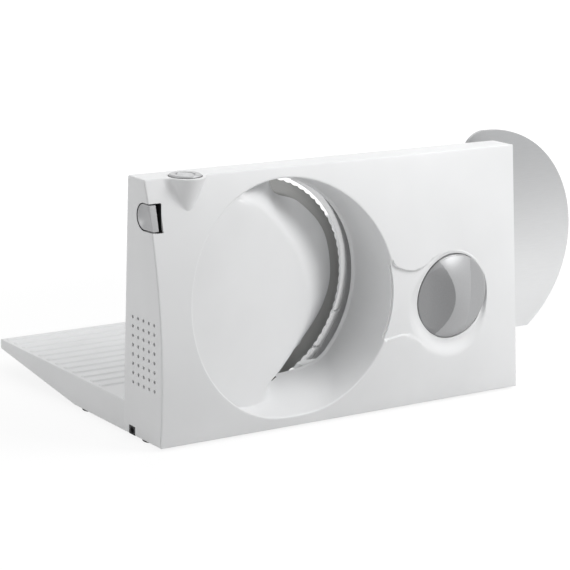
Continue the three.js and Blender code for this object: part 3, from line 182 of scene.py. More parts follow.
def mesh_of(name, sheets, sharp):
    """Sheets laid end to end become one mesh: doubles merged, faces turned out, sharp edges kept."""
    starts = np.cumsum([0] + [len(p) for p, _ in sheets[:-1]])
    corners = in_frame(np.concatenate([p for p, _ in sheets]))
    faces = [block + start for (_, blocks), start in zip(sheets, starts) for block in blocks]
    sizes = np.concatenate([np.full(len(block), block.shape[1]) for block in faces])
    loops = np.concatenate([block.ravel() for block in faces])
    mesh = bpy.data.meshes.new(name)
    mesh.vertices.add(len(corners))
    mesh.vertices.foreach_set("co", corners.ravel())
    mesh.loops.add(int(sizes.sum()))
    mesh.loops.foreach_set("vertex_index", loops.astype(np.int32))
    mesh.polygons.add(len(sizes))
    mesh.polygons.foreach_set("loop_start", (np.cumsum(sizes) - sizes).astype(np.int32))
    mesh.update(calc_edges=True)
    mesh.validate()
    work = bmesh.new()
    work.from_mesh(mesh)
    bmesh.ops.remove_doubles(work, verts=work.verts, dist=MERGE_MM * MM)
    bmesh.ops.dissolve_degenerate(work, edges=work.edges, dist=MERGE_MM * MM / 4)
    bmesh.ops.recalc_face_normals(work, faces=work.faces)
    work.to_mesh(mesh)
    work.free()
    settle(mesh, sharp)
    return mesh


def shape(name, *sheets, sharp=SHARP):
    """A new object at the origin whose mesh holds the sheets."""
    made = bpy.data.objects.new(name, mesh_of(name, sheets, sharp))
    bpy.context.scene.collection.objects.link(made)
    return made


print("doubles closer than", MERGE_MM, "mm are merged")

# %% [markdown]
# A finished piece gets its finish, rides on a body and stands for the frame's solids. Some pieces have two
# finishes, and then the faces that take the second one are picked by where they lie or how they face.

# %% Finished pieces
def set_in(made, finish, body, slot, *nodes):
    """The piece gets its finish, rides on its body and stands for the frame's nodes."""
    made.data.materials.clear()
    for one in finish if isinstance(finish, (list, tuple)) else [finish]:
        made.data.materials.append(one)
    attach(made, body)
    if nodes:
        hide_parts(*nodes)
    print(f"{made.name}: {len(made.data.vertices)} points, {len(made.data.polygons)} faces")
    return made


def of_faces(made, what, width=3):
    """One value of every face, such as its normal, centre or area, as an array."""
    values = np.empty(len(made.data.polygons) * width)
    made.data.polygons.foreach_get(what, values)
    return values.reshape(-1, width)


def face_places(made):
    """The middle of every face on the leaning plane: u, v and w in millimetres."""
    return in_plane(of_faces(made, "center") / MM - SHIFT)


def second_finish(made, chosen):
    """The chosen faces take the piece's second finish."""
    made.data.polygons.foreach_set("material_index", chosen.astype(np.int32))


# %% [markdown]
# A moulded wall is a skin that Solidify thickens inwards. Openings in a bare skin are sliced out along four
# planes, which keeps the skin's own grid, and holes in a closed piece are taken out with a Boolean.

# %% Walls
WALL_SHARP = 40


def baked(made, sharp):
    """The piece's modifiers worked into its mesh."""
    graph = bpy.context.evaluated_depsgraph_get()
    old = made.data
    made.data = bpy.data.meshes.new_from_object(made.evaluated_get(graph))
    made.modifiers.clear()
    bpy.data.meshes.remove(old)
    settle(made.data, sharp)
    return made


def thicken(made, wall, towards):
    """An open skin is turned to face a direction and given a wall behind it."""
    facing = of_faces(made, "normal") @ np.array(towards)
    if of_faces(made, "area", 1)[:, 0] @ facing < 0:
        made.data.flip_normals()
    step = made.modifiers.new("wall", "SOLIDIFY")
    step.thickness, step.offset = wall * MM, -1
    bpy.context.view_layer.update()
    return baked(made, WALL_SHARP)


print("edges of a wall stay sharp over", WALL_SHARP, "degrees")

# %% Windows and carving
SLICE_TOLERANCE = 1e-7


def open_window(made, x_low, x_high, z_low, z_high):
    """A skin is sliced along four planes, and the piece between them is taken out."""
    work = bmesh.new()
    work.from_mesh(made.data)
    low, high = in_frame(np.array([x_low, 0.0, z_low])), in_frame(np.array([x_high, 0.0, z_high]))
    for spot, normal in ((low, (1, 0, 0)), (high, (1, 0, 0)), (low, (0, 0, 1)), (high, (0, 0, 1))):
        everything = work.verts[:] + work.edges[:] + work.faces[:]
        bmesh.ops.bisect_plane(work, geom=everything, plane_co=spot, plane_no=normal, dist=SLICE_TOLERANCE)
    middles = [(face, face.calc_center_median()) for face in work.faces]
    spare = [face for face, m in middles if low[0] < m.x < high[0] and low[2] < m.z < high[2]]
    bmesh.ops.delete(work, geom=spare, context="FACES")
    work.to_mesh(made.data)
    work.free()
    print(f"{made.name}: {len(spare)} faces taken out for a window")


def carved(made, *cutters, sharp=SHARP):
    """The cutters' volumes are taken out of the piece, and the cutters are thrown away."""
    for cutter in cutters:
        step = made.modifiers.new(cutter.name, "BOOLEAN")
        step.object, step.operation, step.solver = cutter, "DIFFERENCE", "EXACT"
    bpy.context.view_layer.update()
    baked(made, sharp)
    for cutter in cutters:
        old = cutter.data
        bpy.data.objects.remove(cutter)
        bpy.data.meshes.remove(old)
    print(f"{made.name}: {len(cutters)} cuts")
    return made


print("slices hold to", SLICE_TOLERANCE, "m")

# %% [markdown]
# Outlines get eased corners from one quadratic curve, which is also the rounding of most moulded edges
# below. A plate carries an outline through a depth, a turned shape carries a profile round an axis, and a
# placer says where the axis stands.

# %% Outlines
LEAST_COSINE = 0.3


def bend(first, corner, last, s):
    """A quadratic curve: leaves the first point towards the corner, arrives at the last; s from 0 to 1."""
    return (1 - s) ** 2 * first + 2 * s * (1 - s) * corner + s ** 2 * last


def corner_bends(before, corners, after, radius, steps):
    """Each corner becomes a bend between two points that lie one radius away on its two edges."""
    radius = np.broadcast_to(np.asarray(radius, float), len(corners))[:, None]
    to_before, to_after = before - corners, after - corners
    start = corners + to_before / np.linalg.norm(to_before, axis=1, keepdims=True) * radius
    end = corners + to_after / np.linalg.norm(to_after, axis=1, keepdims=True) * radius
    s = np.linspace(0, 1, steps)[None, :, None]
    return bend(start[:, None], corners[:, None], end[:, None], s).reshape(-1, 2)


def rounded(corners, radius, steps=6):
    """A closed outline with each corner eased by a bend."""
    corners = np.asarray(corners, float)
    return corner_bends(np.roll(corners, 1, 0), corners, np.roll(corners, -1, 0), radius, steps)


def eased(corners, radius, steps=5):
    """An open profile with its inner corners eased in the same way."""
    corners = np.asarray(corners, float)
    inner = corner_bends(corners[:-2], corners[1:-1], corners[2:], radius, steps)
    return np.concatenate([corners[:1], inner, corners[-1:]])


def drawn_in(outline, distance):
    """An anticlockwise outline moved inwards: each point follows the mean of its edges' normals."""
    edge = np.roll(outline, -1, 0) - outline
    normal = np.stack([-edge[:, 1], edge[:, 0]], 1) / np.linalg.norm(edge, axis=1, keepdims=True)
    mean = normal + np.roll(normal, 1, 0)
    mean /= np.linalg.norm(mean, axis=1, keepdims=True)
    reach = np.clip((mean * normal).sum(1, keepdims=True), LEAST_COSINE, 1)
    return outline + mean / reach * distance


print("a rounded square has", len(rounded([(0, 0), (1, 0), (1, 1), (0, 1)], 0.2)), "points")


# %% Curves and smooth steps
def through(corners, count):
    """A smooth curve through corner points: cubic pieces, each slope half the step between neighbours."""
    p = np.asarray(corners, float)
    p = np.concatenate([2 * p[:1] - p[1:2], p, 2 * p[-1:] - p[-2:-1]])
    t = np.linspace(0, len(p) - 3 - 1e-9, count)
    i = t.astype(int)
    s = (t - i)[:, None]
    a, b, c, d = p[i], p[i + 1], p[i + 2], p[i + 3]
    slope, bow, twist = c - a, 2 * a - 5 * b + 4 * c - d, 3 * b - 3 * c + d - a
    return 0.5 * (2 * b + slope * s + bow * s ** 2 + twist * s ** 3)


def smooth_step(t):
    """3t^2 - 2t^3 between 0 and 1."""
    t = np.clip(t, 0, 1)
    return t * t * (3 - 2 * t)


def smooth_min(a, b, blend):
    """The lesser of two values, rounded where they are within blend of each other."""
    h = np.clip(0.5 + 0.5 * (b - a) / blend, 0, 1)
    return b * (1 - h) + a * h - blend * h * (1 - h)


print("smooth step at a quarter:", float(smooth_step(0.25)))


# %% Plates, turned shapes and placers
def plate(outline, low, high, edge, place, steps=5):
    """An outline carried from one depth to another; its ends draw in along a quarter circle."""
    turn = np.linspace(0, math.pi / 2, steps)
    insets = np.concatenate([edge * (1 - np.sin(turn)), edge * (1 - np.cos(turn))])
    depths = np.concatenate([low + edge * (1 - np.cos(turn)), high - edge * (1 - np.sin(turn))])
    rings = np.stack([drawn_in(outline, inset) for inset in insets])
    placed = place(rings[..., 0], rings[..., 1], np.broadcast_to(depths[:, None], rings.shape[:2]))
    return skin(placed, caps=(True, True))


def turned(profile, place, segments=128):
    """A profile of (radius, depth) pairs turned about an axis: (radius cos t, radius sin t, depth)."""
    profile = np.asarray(profile, float)
    t = np.linspace(0, 2 * math.pi, segments, endpoint=False)
    return skin(place(profile[:, :1] * np.cos(t), profile[:, :1] * np.sin(t), profile[:, 1:] + 0 * t))


def upright(x0=0.0, y0=0.0):
    """Outline about an upright axis, depth along z."""
    return lambda a, b, d: points(x0 + a, y0 + b, d)


def endways(y0=0.0, z0=0.0):
    """Outline about an axis along the housing, depth along x."""
    return lambda a, b, d: points(d, y0 + a, z0 + b)


def frontways(x0=0.0, z0=0.0):
    """Outline about an axis from front to back, depth along y."""
    return lambda a, b, d: points(x0 + a, d, z0 + b)


def on_plane(u0, w0):
    """Outline about a point of the leaning plane, depth out of the plane."""
    return lambda a, b, d: lean(u0 + a, d, w0 + b)


print("placers: upright, endways, frontways, on_plane")

# %% [markdown]
# ## Finishes
#
# The housing is white moulded plastic with a satin gloss: never quite even, so a slow noise moves its
# colour and gloss by a little and a fine noise gives the moulded grain. Metals differ by how they were
# worked: the blade is ground in rings, the stop plate is rolled sheet, the knob is a satin silver coat.
# Pictures could be wrapped on, but noise worked out in space needs no unwrapping and shows no seam. All
# patterns read Object coordinates, so they stay put when a piece moves.

# %% Trees and noise
NOISE_LOW, NOISE_HIGH = 0.3, 0.7


def finish_tree(name):
    """A new material with its tree, shader and Object coordinates."""
    made = bpy.data.materials.new(name)
    made.use_nodes = True
    tree = made.node_tree
    shader = tree.nodes["Principled BSDF"]
    where = tree.nodes.new("ShaderNodeTexCoord")
    return made, tree, shader, where.outputs["Object"]


def noise(tree, where, scale, detail, stretch=(1, 1, 1)):
    """A noise of that many waves per metre, stretched along an axis by a Mapping node."""
    mapping = tree.nodes.new("ShaderNodeMapping")
    mapping.inputs["Scale"].default_value = stretch
    pattern = tree.nodes.new("ShaderNodeTexNoise")
    pattern.inputs["Scale"].default_value = scale
    pattern.inputs["Detail"].default_value = detail
    tree.links.new(where, mapping.inputs["Vector"])
    tree.links.new(mapping.outputs["Vector"], pattern.inputs["Vector"])
    return pattern.outputs["Fac"]


print("noise runs mostly from", NOISE_LOW, "to", NOISE_HIGH)


# %% From noise to colour, gloss and grain
def set_range(reach, **limits):
    """The four limits of a Map Range node, such as from_min, by name."""
    for name, value in limits.items():
        reach.inputs[name.replace("_", " ").title()].default_value = value


def spread(tree, value, low, high):
    """A noise value carried onto a range."""
    reach = tree.nodes.new("ShaderNodeMapRange")
    set_range(reach, from_min=NOISE_LOW, from_max=NOISE_HIGH, to_min=low, to_max=high)
    tree.links.new(value, reach.inputs["Value"])
    return reach.outputs["Result"]


def tint(tree, value, dark, light, low=NOISE_LOW, high=NOISE_HIGH):
    """A value between two limits carried onto a pair of colours."""
    ramp = tree.nodes.new("ShaderNodeValToRGB")
    first, last = ramp.color_ramp.elements
    first.position, last.position = low, high
    first.color, last.color = (*dark, 1), (*light, 1)
    tree.links.new(value, ramp.inputs["Fac"])
    return ramp.outputs["Color"]


def grain(tree, shader, height, strength, distance):
    """Bump from a height, its depth in metres."""
    bump = tree.nodes.new("ShaderNodeBump")
    bump.inputs["Strength"].default_value = strength
    bump.inputs["Distance"].default_value = distance
    tree.links.new(height, bump.inputs["Height"])
    tree.links.new(bump.outputs["Normal"], shader.inputs["Normal"])


print("a finish is built from spread, tint and grain")

# %% Plastic
SHADE_WAVES, GLOSS_WAVES, MOULD_BUMP = 14, 45, 0.25
PLASTIC_SHEEN, COAT_ROUGH = 0.5, 0.12


def plastic(name, dark, light, gloss, grain_waves=2600, depth=0.00002, coat=0.0):
    """Moulded plastic: two close shades on a slow noise, gloss on another, and a fine moulded grain."""
    made, tree, shader, where = finish_tree(name)
    tree.links.new(tint(tree, noise(tree, where, SHADE_WAVES, 3), dark, light), shader.inputs["Base Color"])
    tree.links.new(spread(tree, noise(tree, where, GLOSS_WAVES, 3), *gloss), shader.inputs["Roughness"])
    shader.inputs["Specular IOR Level"].default_value = PLASTIC_SHEEN
    shader.inputs["Coat Weight"].default_value = coat
    shader.inputs["Coat Roughness"].default_value = COAT_ROUGH
    grain(tree, shader, noise(tree, where, grain_waves, 2), MOULD_BUMP, depth)
    return made


print("plastic shades drift over", round(1000 / SHADE_WAVES), "mm")

# %% Worked metal
MARK_DEPTH, RING_BUMP = 0.00003, 0.25
EVEN = (1, 1, 1)


def worked(tree, shader, marks, dark, light, gloss, metallic, strength):
    """A pattern of marks moves the colour, the gloss and the height of a metal."""
    tree.links.new(tint(tree, marks, dark, light), shader.inputs["Base Color"])
    tree.links.new(spread(tree, marks, *gloss), shader.inputs["Roughness"])
    shader.inputs["Metallic"].default_value = metallic
    grain(tree, shader, marks, strength, MARK_DEPTH)


def metal(name, dark, light, gloss, stretch, waves, strength=0.2, metallic=1.0, coat=None):
    """Worked metal: a noise stretched along the working direction, and a clear coat where one is given."""
    made, tree, shader, where = finish_tree(name)
    worked(tree, shader, noise(tree, where, waves, 3, stretch), dark, light, gloss, metallic, strength)
    if coat:
        shader.inputs["Coat Weight"].default_value, shader.inputs["Coat Roughness"].default_value = coat
    return made


def ground_metal(name, centre, axis, dark, light, gloss, waves, metallic=1.0):
    """Metal ground in rings: a noise read along the distance from an axis, so its marks run round it."""
    made, tree, shader, where = finish_tree(name)
    move, across, distance = (tree.nodes.new("ShaderNodeVectorMath") for _ in range(3))
    move.operation, across.operation, distance.operation = "SUBTRACT", "CROSS_PRODUCT", "LENGTH"
    move.inputs[1].default_value, across.inputs[1].default_value = centre, axis
    tree.links.new(where, move.inputs[0])
    tree.links.new(move.outputs["Vector"], across.inputs[0])
    tree.links.new(across.outputs["Vector"], distance.inputs[0])
    join = tree.nodes.new("ShaderNodeCombineXYZ")
    tree.links.new(distance.outputs["Value"], join.inputs["X"])
    rings = tree.nodes.new("ShaderNodeTexNoise")
    rings.inputs["Scale"].default_value, rings.inputs["Detail"].default_value = waves, 4
    tree.links.new(join.outputs["Vector"], rings.inputs["Vector"])
    worked(tree, shader, rings.outputs["Fac"], dark, light, gloss, metallic, RING_BUMP)
    return made


print("marks are", round(MARK_DEPTH * 1e6), "micrometres deep")

# %% Rolled sheet
ROLL_WAVES, ROLL_STRETCH, ROLL_SHADE, ROLL_BUMP = 90, (1, 8, 60), 0.05, 0.03
ROLL_GLOSS, ROLL_METALLIC = (0.40, 0.46), 0.35


def sheet_metal_painted_reflection(name, foot, head, low, high):
    """Rolled sheet: fine lines along its length, and a painted reflection that darkens the colour slowly with
    height.
    """
    made, tree, shader, where = finish_tree(name)
    marks = noise(tree, where, ROLL_WAVES, 3, ROLL_STRETCH)
    apart = tree.nodes.new("ShaderNodeSeparateXYZ")
    tree.links.new(where, apart.inputs[0])
    # Painted reflection: the colour runs from the light foot to the dark head as the height rises.
    rise = tree.nodes.new("ShaderNodeMapRange")
    rise.interpolation_type = "SMOOTHSTEP"
    set_range(rise, from_min=low, from_max=high)
    tree.links.new(apart.outputs["Z"], rise.inputs["Value"])
    both = tree.nodes.new("ShaderNodeMath")
    both.operation = "ADD"
    tree.links.new(spread(tree, marks, -ROLL_SHADE, ROLL_SHADE), both.inputs[0])
    tree.links.new(rise.outputs["Result"], both.inputs[1])
    tree.links.new(tint(tree, both.outputs[0], foot, head, 0, 1), shader.inputs["Base Color"])
    tree.links.new(spread(tree, marks, *ROLL_GLOSS), shader.inputs["Roughness"])
    shader.inputs["Metallic"].default_value = ROLL_METALLIC
    grain(tree, shader, marks, ROLL_BUMP, MARK_DEPTH)
    return made


print("rolled lines are stretched", ROLL_STRETCH[2], "to", ROLL_STRETCH[0])

# %% The slicer's finishes
BLADE_U, BLADE_W, BLADE_V = -50.0, 93.0, 17.0
blade_axis = lean(0, 1, 0) - lean(0, 0, 0)
blade_centre = in_frame(lean(BLADE_U, BLADE_V, BLADE_W))

white_plastic = plastic(
    "white_plastic", (0.79, 0.795, 0.80), (0.83, 0.835, 0.84), gloss=(0.42, 0.5), coat=0.04)
grey_plastic = plastic("grey_plastic", (0.50, 0.51, 0.52), (0.56, 0.57, 0.58), gloss=(0.4, 0.5))
black_plastic = plastic("black_plastic", (0.012, 0.012, 0.013), (0.02, 0.02, 0.022), gloss=(0.4, 0.55))
nylon = plastic("gear_nylon", (0.72, 0.69, 0.60), (0.80, 0.77, 0.68), gloss=(0.45, 0.6), grain_waves=900)
rubber = plastic(
    "soft_rubber", (0.02, 0.02, 0.022), (0.035, 0.035, 0.038), gloss=(0.7, 0.85), grain_waves=1500,
    depth=0.00008)
silver_coat = metal(
    "silver_coat", (0.40, 0.403, 0.41), (0.44, 0.443, 0.45), (0.30, 0.36), EVEN, 1600, 0.03,
    metallic=0.3, coat=(0.25, 0.35))
# Painted shade: a darker copy of the silver coat for the knob's scoop, which faces away from the light.
scoop_painted_shade = metal(
    "scoop_painted_shade", (0.27, 0.272, 0.277), (0.30, 0.302, 0.307), (0.36, 0.42), EVEN, 1600, 0.03, metallic=0.3)
# The stop plate's colour is light at its foot and dark at its top: painted reflection.
plate_metal = sheet_metal_painted_reflection("rolled_sheet_painted_reflection", (0.80, 0.805, 0.81), (0.41, 0.414, 0.42), 0.05, 0.20)
# The bevel beside the blade lies in shade; this lighter copy of the plate's metal is partly grinding, partly
# painted light.
ground_bevel_painted_light = metal(
    "ground_edge_painted_light", (0.86, 0.865, 0.87), (0.93, 0.93, 0.93), (0.2, 0.26), EVEN, 900, 0.05, metallic=0.5)
drive_steel = metal("drive_steel", (0.45, 0.46, 0.48), (0.58, 0.59, 0.61), (0.25, 0.4), EVEN, 500)
motor_iron = metal("motor_iron", (0.20, 0.205, 0.21), (0.30, 0.305, 0.31), (0.45, 0.6), (1, 1, 60), 40)
bronze = metal("bearing_bronze", (0.50, 0.33, 0.12), (0.62, 0.42, 0.17), (0.35, 0.5), EVEN, 700)
copper_wire = metal(
    "winding_copper", (0.42, 0.17, 0.07), (0.62, 0.28, 0.12), (0.3, 0.45), (1, 1, 90), 60, 0.5)
blade_steel = ground_metal(
    "ground_steel", blade_centre, blade_axis, (0.50, 0.51, 0.52), (0.70, 0.71, 0.72), (0.16, 0.30), 2200)
# Painted shade: a darker copy of the ground steel for the blade's front face, deep in the dish.
blade_front_painted_shade = ground_metal(
    "ground_steel_painted_shade", blade_centre, blade_axis, (0.42, 0.42, 0.41), (0.52, 0.52, 0.51), (0.3, 0.42),
    2200, metallic=0.5)
print(len(bpy.data.materials), "finishes")

# %% [markdown]
# ## The front shell's face
#
# The front is one bowed skin: a circle arc of 430 mm radius seen from the end, so the top leans back. Towards
# the right end the bow goes over into a straight line. The dish and the knob's cup are both round, so the
# face is drawn as two polar grids, one around each, that meet on an upright line between them. Depth into
# the housing is worked out from simple forms: the bow, a shallow channel between two S-shaped lines, and the
# tilted cup around the knob. A sculpted mesh could give the same face, but a formula can be measured and
# corrected number by number.

# %% Bow and channel
FRONT_RADIUS, FRONT_CREST = 430.0, 52.0
END_DRAFT = 2.7
EDGE = 0.8
MEET_X, UNBOW_POWER = 44.0, 1.8
CHANNEL_DEPTH, CHANNEL_STEP = 1.8, 0.7
CHANNEL_FOOT_X, CHANNEL_FOOT_RUN, CHANNEL_FOOT_Z, CHANNEL_FOOT_RISE = 58, 22, 90, 10
CHANNEL_END_X, CHANNEL_END_RUN, LINE_COUNT = 74, 14, 200
UPPER_LINE = [(34, 118), (38.6, 115.4), (43, 111), (56, 106.7), (68, 107.8), (78, 113.5), (90, 119)]
LOWER_LINE = [(30, 56), (37.4, 57), (49, 58), (58.6, 54.7), (68.7, 47.5), (78.8, 41.3), (89, 37.5)]


def front_y(z):
    """Front of the housing: a circle arc that bulges most at the crest's height, 0 at the foot."""
    bow = lambda rise: FRONT_RADIUS - np.sqrt(FRONT_RADIUS ** 2 - rise ** 2)
    return bow(z - FRONT_CREST) - bow(FRONT_CREST)


def unbow(x, z):
    """Right of the meeting line: a share of the way from the arc to a straight line, share = way^1.8."""
    share = np.clip((x - MEET_X) / (LENGTH / 2 - MEET_X), 0, 1) ** UNBOW_POWER
    return share * (front_y(HEIGHT) * z / HEIGHT - front_y(z))


def back_y(z):
    """The leaning back plane: depth less z tan a."""
    return DEPTH - z * math.tan(LEAN)


def half_length(z):
    """The ends draw in towards the foot by the draft."""
    return LENGTH / 2 - END_DRAFT * (1 - z / HEIGHT)


def channel(x, z):
    """Depth of the channel: full between the two S-shaped lines, with a short smooth step at each."""
    upper, lower = through(UPPER_LINE, LINE_COUNT), through(LOWER_LINE, LINE_COUNT)
    below = smooth_step((np.interp(x, *upper.T) - z) / CHANNEL_STEP + 0.5)
    above = smooth_step((z - np.interp(x, *lower.T)) / CHANNEL_STEP + 0.5)
    low = smooth_step((CHANNEL_FOOT_Z - z) / CHANNEL_FOOT_RISE)
    ends = 1 - smooth_step((x - CHANNEL_FOOT_X) / CHANNEL_FOOT_RUN) * low
    far = 1 - smooth_step((x - CHANNEL_END_X) / CHANNEL_END_RUN)
    return CHANNEL_DEPTH * below * above * ends * (x > 0) * far


print("the top of the front lies", round(float(front_y(HEIGHT)), 1), "mm behind its foot")

# %% [markdown]
# The cup around the knob has a steep wall at the top and right and a long ramp at the foot and left. Two
# radii, given in a few directions, say where the wall starts and ends, and a smooth step joins them. A cup
# cut with a Boolean would have the same hard rim all round.

# %% Cup around the knob
KNOB_U, KNOB_W, KNOB_RADIUS = 99.0, 84.0, 33.2
CUP_FLOOR_V = -44.5
CUP_TURNS = [0, 45, 90, 130, 155, 180, 200, 225, 270, 298, 311, 335, 350]
CUP_OUTER = [35.1, 35.8, 36.8, 36.9, 39, 45.5, 47.5, 48, 48, 45.5, 42, 36.6, 35.3]
CUP_INNER = [34.5, 34.8, 35.2, 35.2, 35, 34.8, 34.8, 34.8, 34.8, 34.8, 34.8, 34.6, 34.5]
CUP_SOFTEN = np.arange(-10, 11, 2.5)
CUP_TILT, CUP_FORWARD = 2.2, 4.0
KNOB_GAP, GAP_DEPTH = 0.6, 4.0
knob_x, knob_y, knob_z = lean(KNOB_U, CUP_FLOOR_V, KNOB_W)


def around(turn, values):
    """Values given at a few directions, joined by straight runs and softened over twenty degrees."""
    samples = np.interp(turn[..., None] + CUP_SOFTEN, CUP_TURNS, values, period=360)
    return samples.mean(-1)


def cup_floor(x, z):
    """The floor leans with the back plane and comes forward to the knob's rim at the left and the foot."""
    left, foot = smooth_step((knob_x - x) / KNOB_RADIUS), smooth_step((knob_z - z) / KNOB_RADIUS)
    return knob_y - (z - knob_z) * math.tan(LEAN) - np.hypot(CUP_TILT * left, CUP_FORWARD * foot)


def face_y(x, z):
    """The bow, plus the channel, then the cup sunk into them, with a gap round the knob."""
    base = front_y(z) + unbow(x, z) + channel(x, z)
    away = np.hypot(x - knob_x, z - knob_z)
    turn = np.degrees(np.arctan2(z - knob_z, x - knob_x)) % 360
    outer, inner = around(turn, CUP_OUTER), around(turn, CUP_INNER)
    sunk = smooth_step((outer - away) / (outer - inner))
    drop = GAP_DEPTH * (away < KNOB_RADIUS + KNOB_GAP)
    return base + (cup_floor(x, z) + drop - base) * sunk


cup_foot = cup_floor(KNOB_U, knob_z - KNOB_RADIUS) - front_y(knob_z - KNOB_RADIUS)
print("cup depth at the knob's lower edge:", round(float(cup_foot), 1), "mm")

# %% [markdown]
# The dish is a cone that narrows a little towards the blade and ends in a short bevel, with a ramp at its
# foot that lets slices slide out. Where cone and ramp meet, a smooth minimum of the two radii keeps a moulded
# fillet. A cone could be cut out with a Boolean, but the fillet and the eased rim would then have to follow a
# ragged edge. Here the rim is found by walking each line of the cone until it meets the face.

# %% Dish wall
RIM_U, RIM_W, RIM_RADIUS, RIM_V = -50.5, 99.5, 88.3, -52.0
BACK_U, BACK_W, BACK_RADIUS = -52.0, 95.0, 87.0
RAMP_W, RAMP_SLOPE, RIM_BLEND, BACK_BLEND = 24.0, 0.26, 6.0, 20.0
BEVEL, BEVEL_RUN = 1.7, 2.6
LEAST_SINE = 0.02


def dish_middle(v):
    """The dish's middle slides along a straight line from its back to its rim."""
    share = v / RIM_V
    return BACK_U + share * (RIM_U - BACK_U), BACK_W + share * (RIM_W - BACK_W)


def dish_reach(angle, v):
    """Middle and radius of the dish at a depth; below the middle the radius gives way to the ramp."""
    share = v / RIM_V
    u0, w0 = dish_middle(v)
    radius = BACK_RADIUS + share * (RIM_RADIUS - BACK_RADIUS) + BEVEL * smooth_step(-v / BEVEL_RUN)
    to_ramp = (w0 - RAMP_W - RAMP_SLOPE * v) / np.maximum(-np.sin(angle), LEAST_SINE)
    return u0, w0, smooth_min(radius, to_ramp, BACK_BLEND + share * (RIM_BLEND - BACK_BLEND))


def dish(angle, v):
    """The dish wall's point at an angle and a depth."""
    u0, w0, reach = dish_reach(angle, v)
    return lean(u0 + reach * np.cos(angle), v, w0 + reach * np.sin(angle))


print("ramp ends", RAMP_W, "mm up the back plane")

# %% Depth of the dish and its rim
DISH_NEAREST, HALVINGS, AT_BACK = -62.0, 36, -1e-4
RIM_PASSES, RIM_GAIN = 25, 0.9


def dish_depth(u, w):
    """Depth of the dish wall straight behind a point, by halving; past the back the ramp's line goes on."""
    near, far = np.full_like(u, DISH_NEAREST), np.zeros_like(u)
    for _ in range(HALVINGS):
        v = (near + far) / 2
        u0, w0 = dish_middle(v)
        open_here = dish_reach(np.arctan2(w - w0, u - u0), v)[2] > np.hypot(u - u0, w - w0)
        near, far = np.where(open_here, v, near), np.where(open_here, far, v)
    return np.where(far > AT_BACK, np.maximum((w - RAMP_W) / RAMP_SLOPE, 0), far)


def rim_depth(angle):
    """Depth at which the dish wall meets the bowed front: v is moved by the gap until it closes."""
    v = np.full_like(angle, RIM_V)
    for _ in range(RIM_PASSES):
        p = dish(angle, v)
        v = v - RIM_GAIN * (p[..., 1] - front_y(p[..., 2]))
    return v


print("the dish is", round(-float(rim_depth(np.zeros(1))[0]), 1), "mm deep at its right")

# %% [markdown]
# Each polar grid ends on half of the front's outline. An outline is a list of runs: straight runs, and small
# fans at the corners that stay in one place while their outward direction turns. So the grids end exactly on
# the front's edge, and the rounding over it can start from there.

# %% Outline of the front
TOP_COUNT, END_COUNT, FOOT_COUNT, CORNER_COUNT = 110, 80, 95, 9
face_top, face_foot = HEIGHT - EDGE, EDGE
reach_top, reach_foot = half_length(face_top) - EDGE, half_length(face_foot) - EDGE


def level_run(x0, x1, z, count, out):
    """Points along the front at one height, with one outward direction in degrees."""
    return np.linspace(x0, x1, count), np.full(count, z), out, out


def end_run(side, z0, z1, out):
    """Points up or down an end: side -1 for the left, 1 for the right."""
    z = np.linspace(z0, z1, END_COUNT)
    return side * (half_length(z) - EDGE), z, out, out


def corner_fan(x, z, first, last):
    """One corner, while the outward direction turns."""
    return np.full(CORNER_COUNT, x), np.full(CORNER_COUNT, z), first, last


def meeting_run(z, out):
    """Points on the meeting line."""
    return np.full_like(z, MEET_X), z, out, out


def run_arrays(*runs):
    """The runs joined: x, z, and the outward direction of each point's edge."""
    x, z = (np.concatenate([run[k] for run in runs]) for k in (0, 1))
    out = np.concatenate([np.linspace(run[2], run[3], len(run[0])) for run in runs])
    return x, z, np.radians(out)


print("face from", round(-reach_foot, 1), "to", round(reach_foot, 1), "mm at its foot")

# %% The outline's two halves
# Rows on the meeting line, as from, to and count: closer where the channel's two lines cross it.
MEET_ROWS = [(face_foot, face_top, 70), (53, 61, 26), (102, 117, 36)]
z_meet = np.unique(np.concatenate([np.linspace(*rows) for rows in MEET_ROWS]))
meet_count = len(z_meet)
left_x, left_z, left_out = run_arrays(
    meeting_run(z_meet, 0.0),
    level_run(MEET_X, -reach_top, face_top, TOP_COUNT, 90.0),
    corner_fan(-reach_top, face_top, 90.0, 180.0),
    end_run(-1, face_top, face_foot, 180.0),
    corner_fan(-reach_foot, face_foot, 180.0, 270.0),
    level_run(-reach_foot, MEET_X, face_foot, FOOT_COUNT, 270.0))
right_x, right_z, right_out = run_arrays(
    meeting_run(z_meet[::-1], 180.0),
    level_run(MEET_X, reach_foot, face_foot, END_COUNT, 270.0),
    corner_fan(reach_foot, face_foot, 270.0, 360.0),
    end_run(1, face_foot, face_top, 360.0),
    corner_fan(reach_top, face_top, 0.0, 90.0),
    level_run(reach_top, MEET_X, face_top, END_COUNT, 90.0))
print("outline:", len(left_x), "points on the left,", len(right_x), "on the right")

# %% [markdown]
# The left field runs from the outline in to the dish. Its rim is eased with a quadratic curve, and the
# dish wall goes on from there to its back edge, with closer rows at the bevel.

# %% Field around the dish
RIM_EDGE, DISH_ROWS, BEVEL_ROWS = 1.4, 20, [0.955, 0.966, 0.977, 0.988, 1]
FIELD_ROWS, FIELD_POWER = 20, 1.15

dish_angle = np.arctan2(left_z - RIM_W, left_x - RIM_U)
rim_v = rim_depth(dish_angle)
rim = dish(dish_angle, rim_v)
ray = np.stack([left_x - rim[:, 0], left_z - rim[:, 2]], -1)
ray /= np.linalg.norm(ray, axis=-1, keepdims=True)
start = rim[:, [0, 2]] + ray * RIM_EDGE

outwards = np.linspace(0, 1, FIELD_ROWS)[:, None] ** FIELD_POWER
field_x = start[:, 0] + outwards * (left_x - start[:, 0])
field_z = start[:, 1] + outwards * (left_z - start[:, 1])
left_field = points(field_x, face_y(field_x, field_z), field_z)

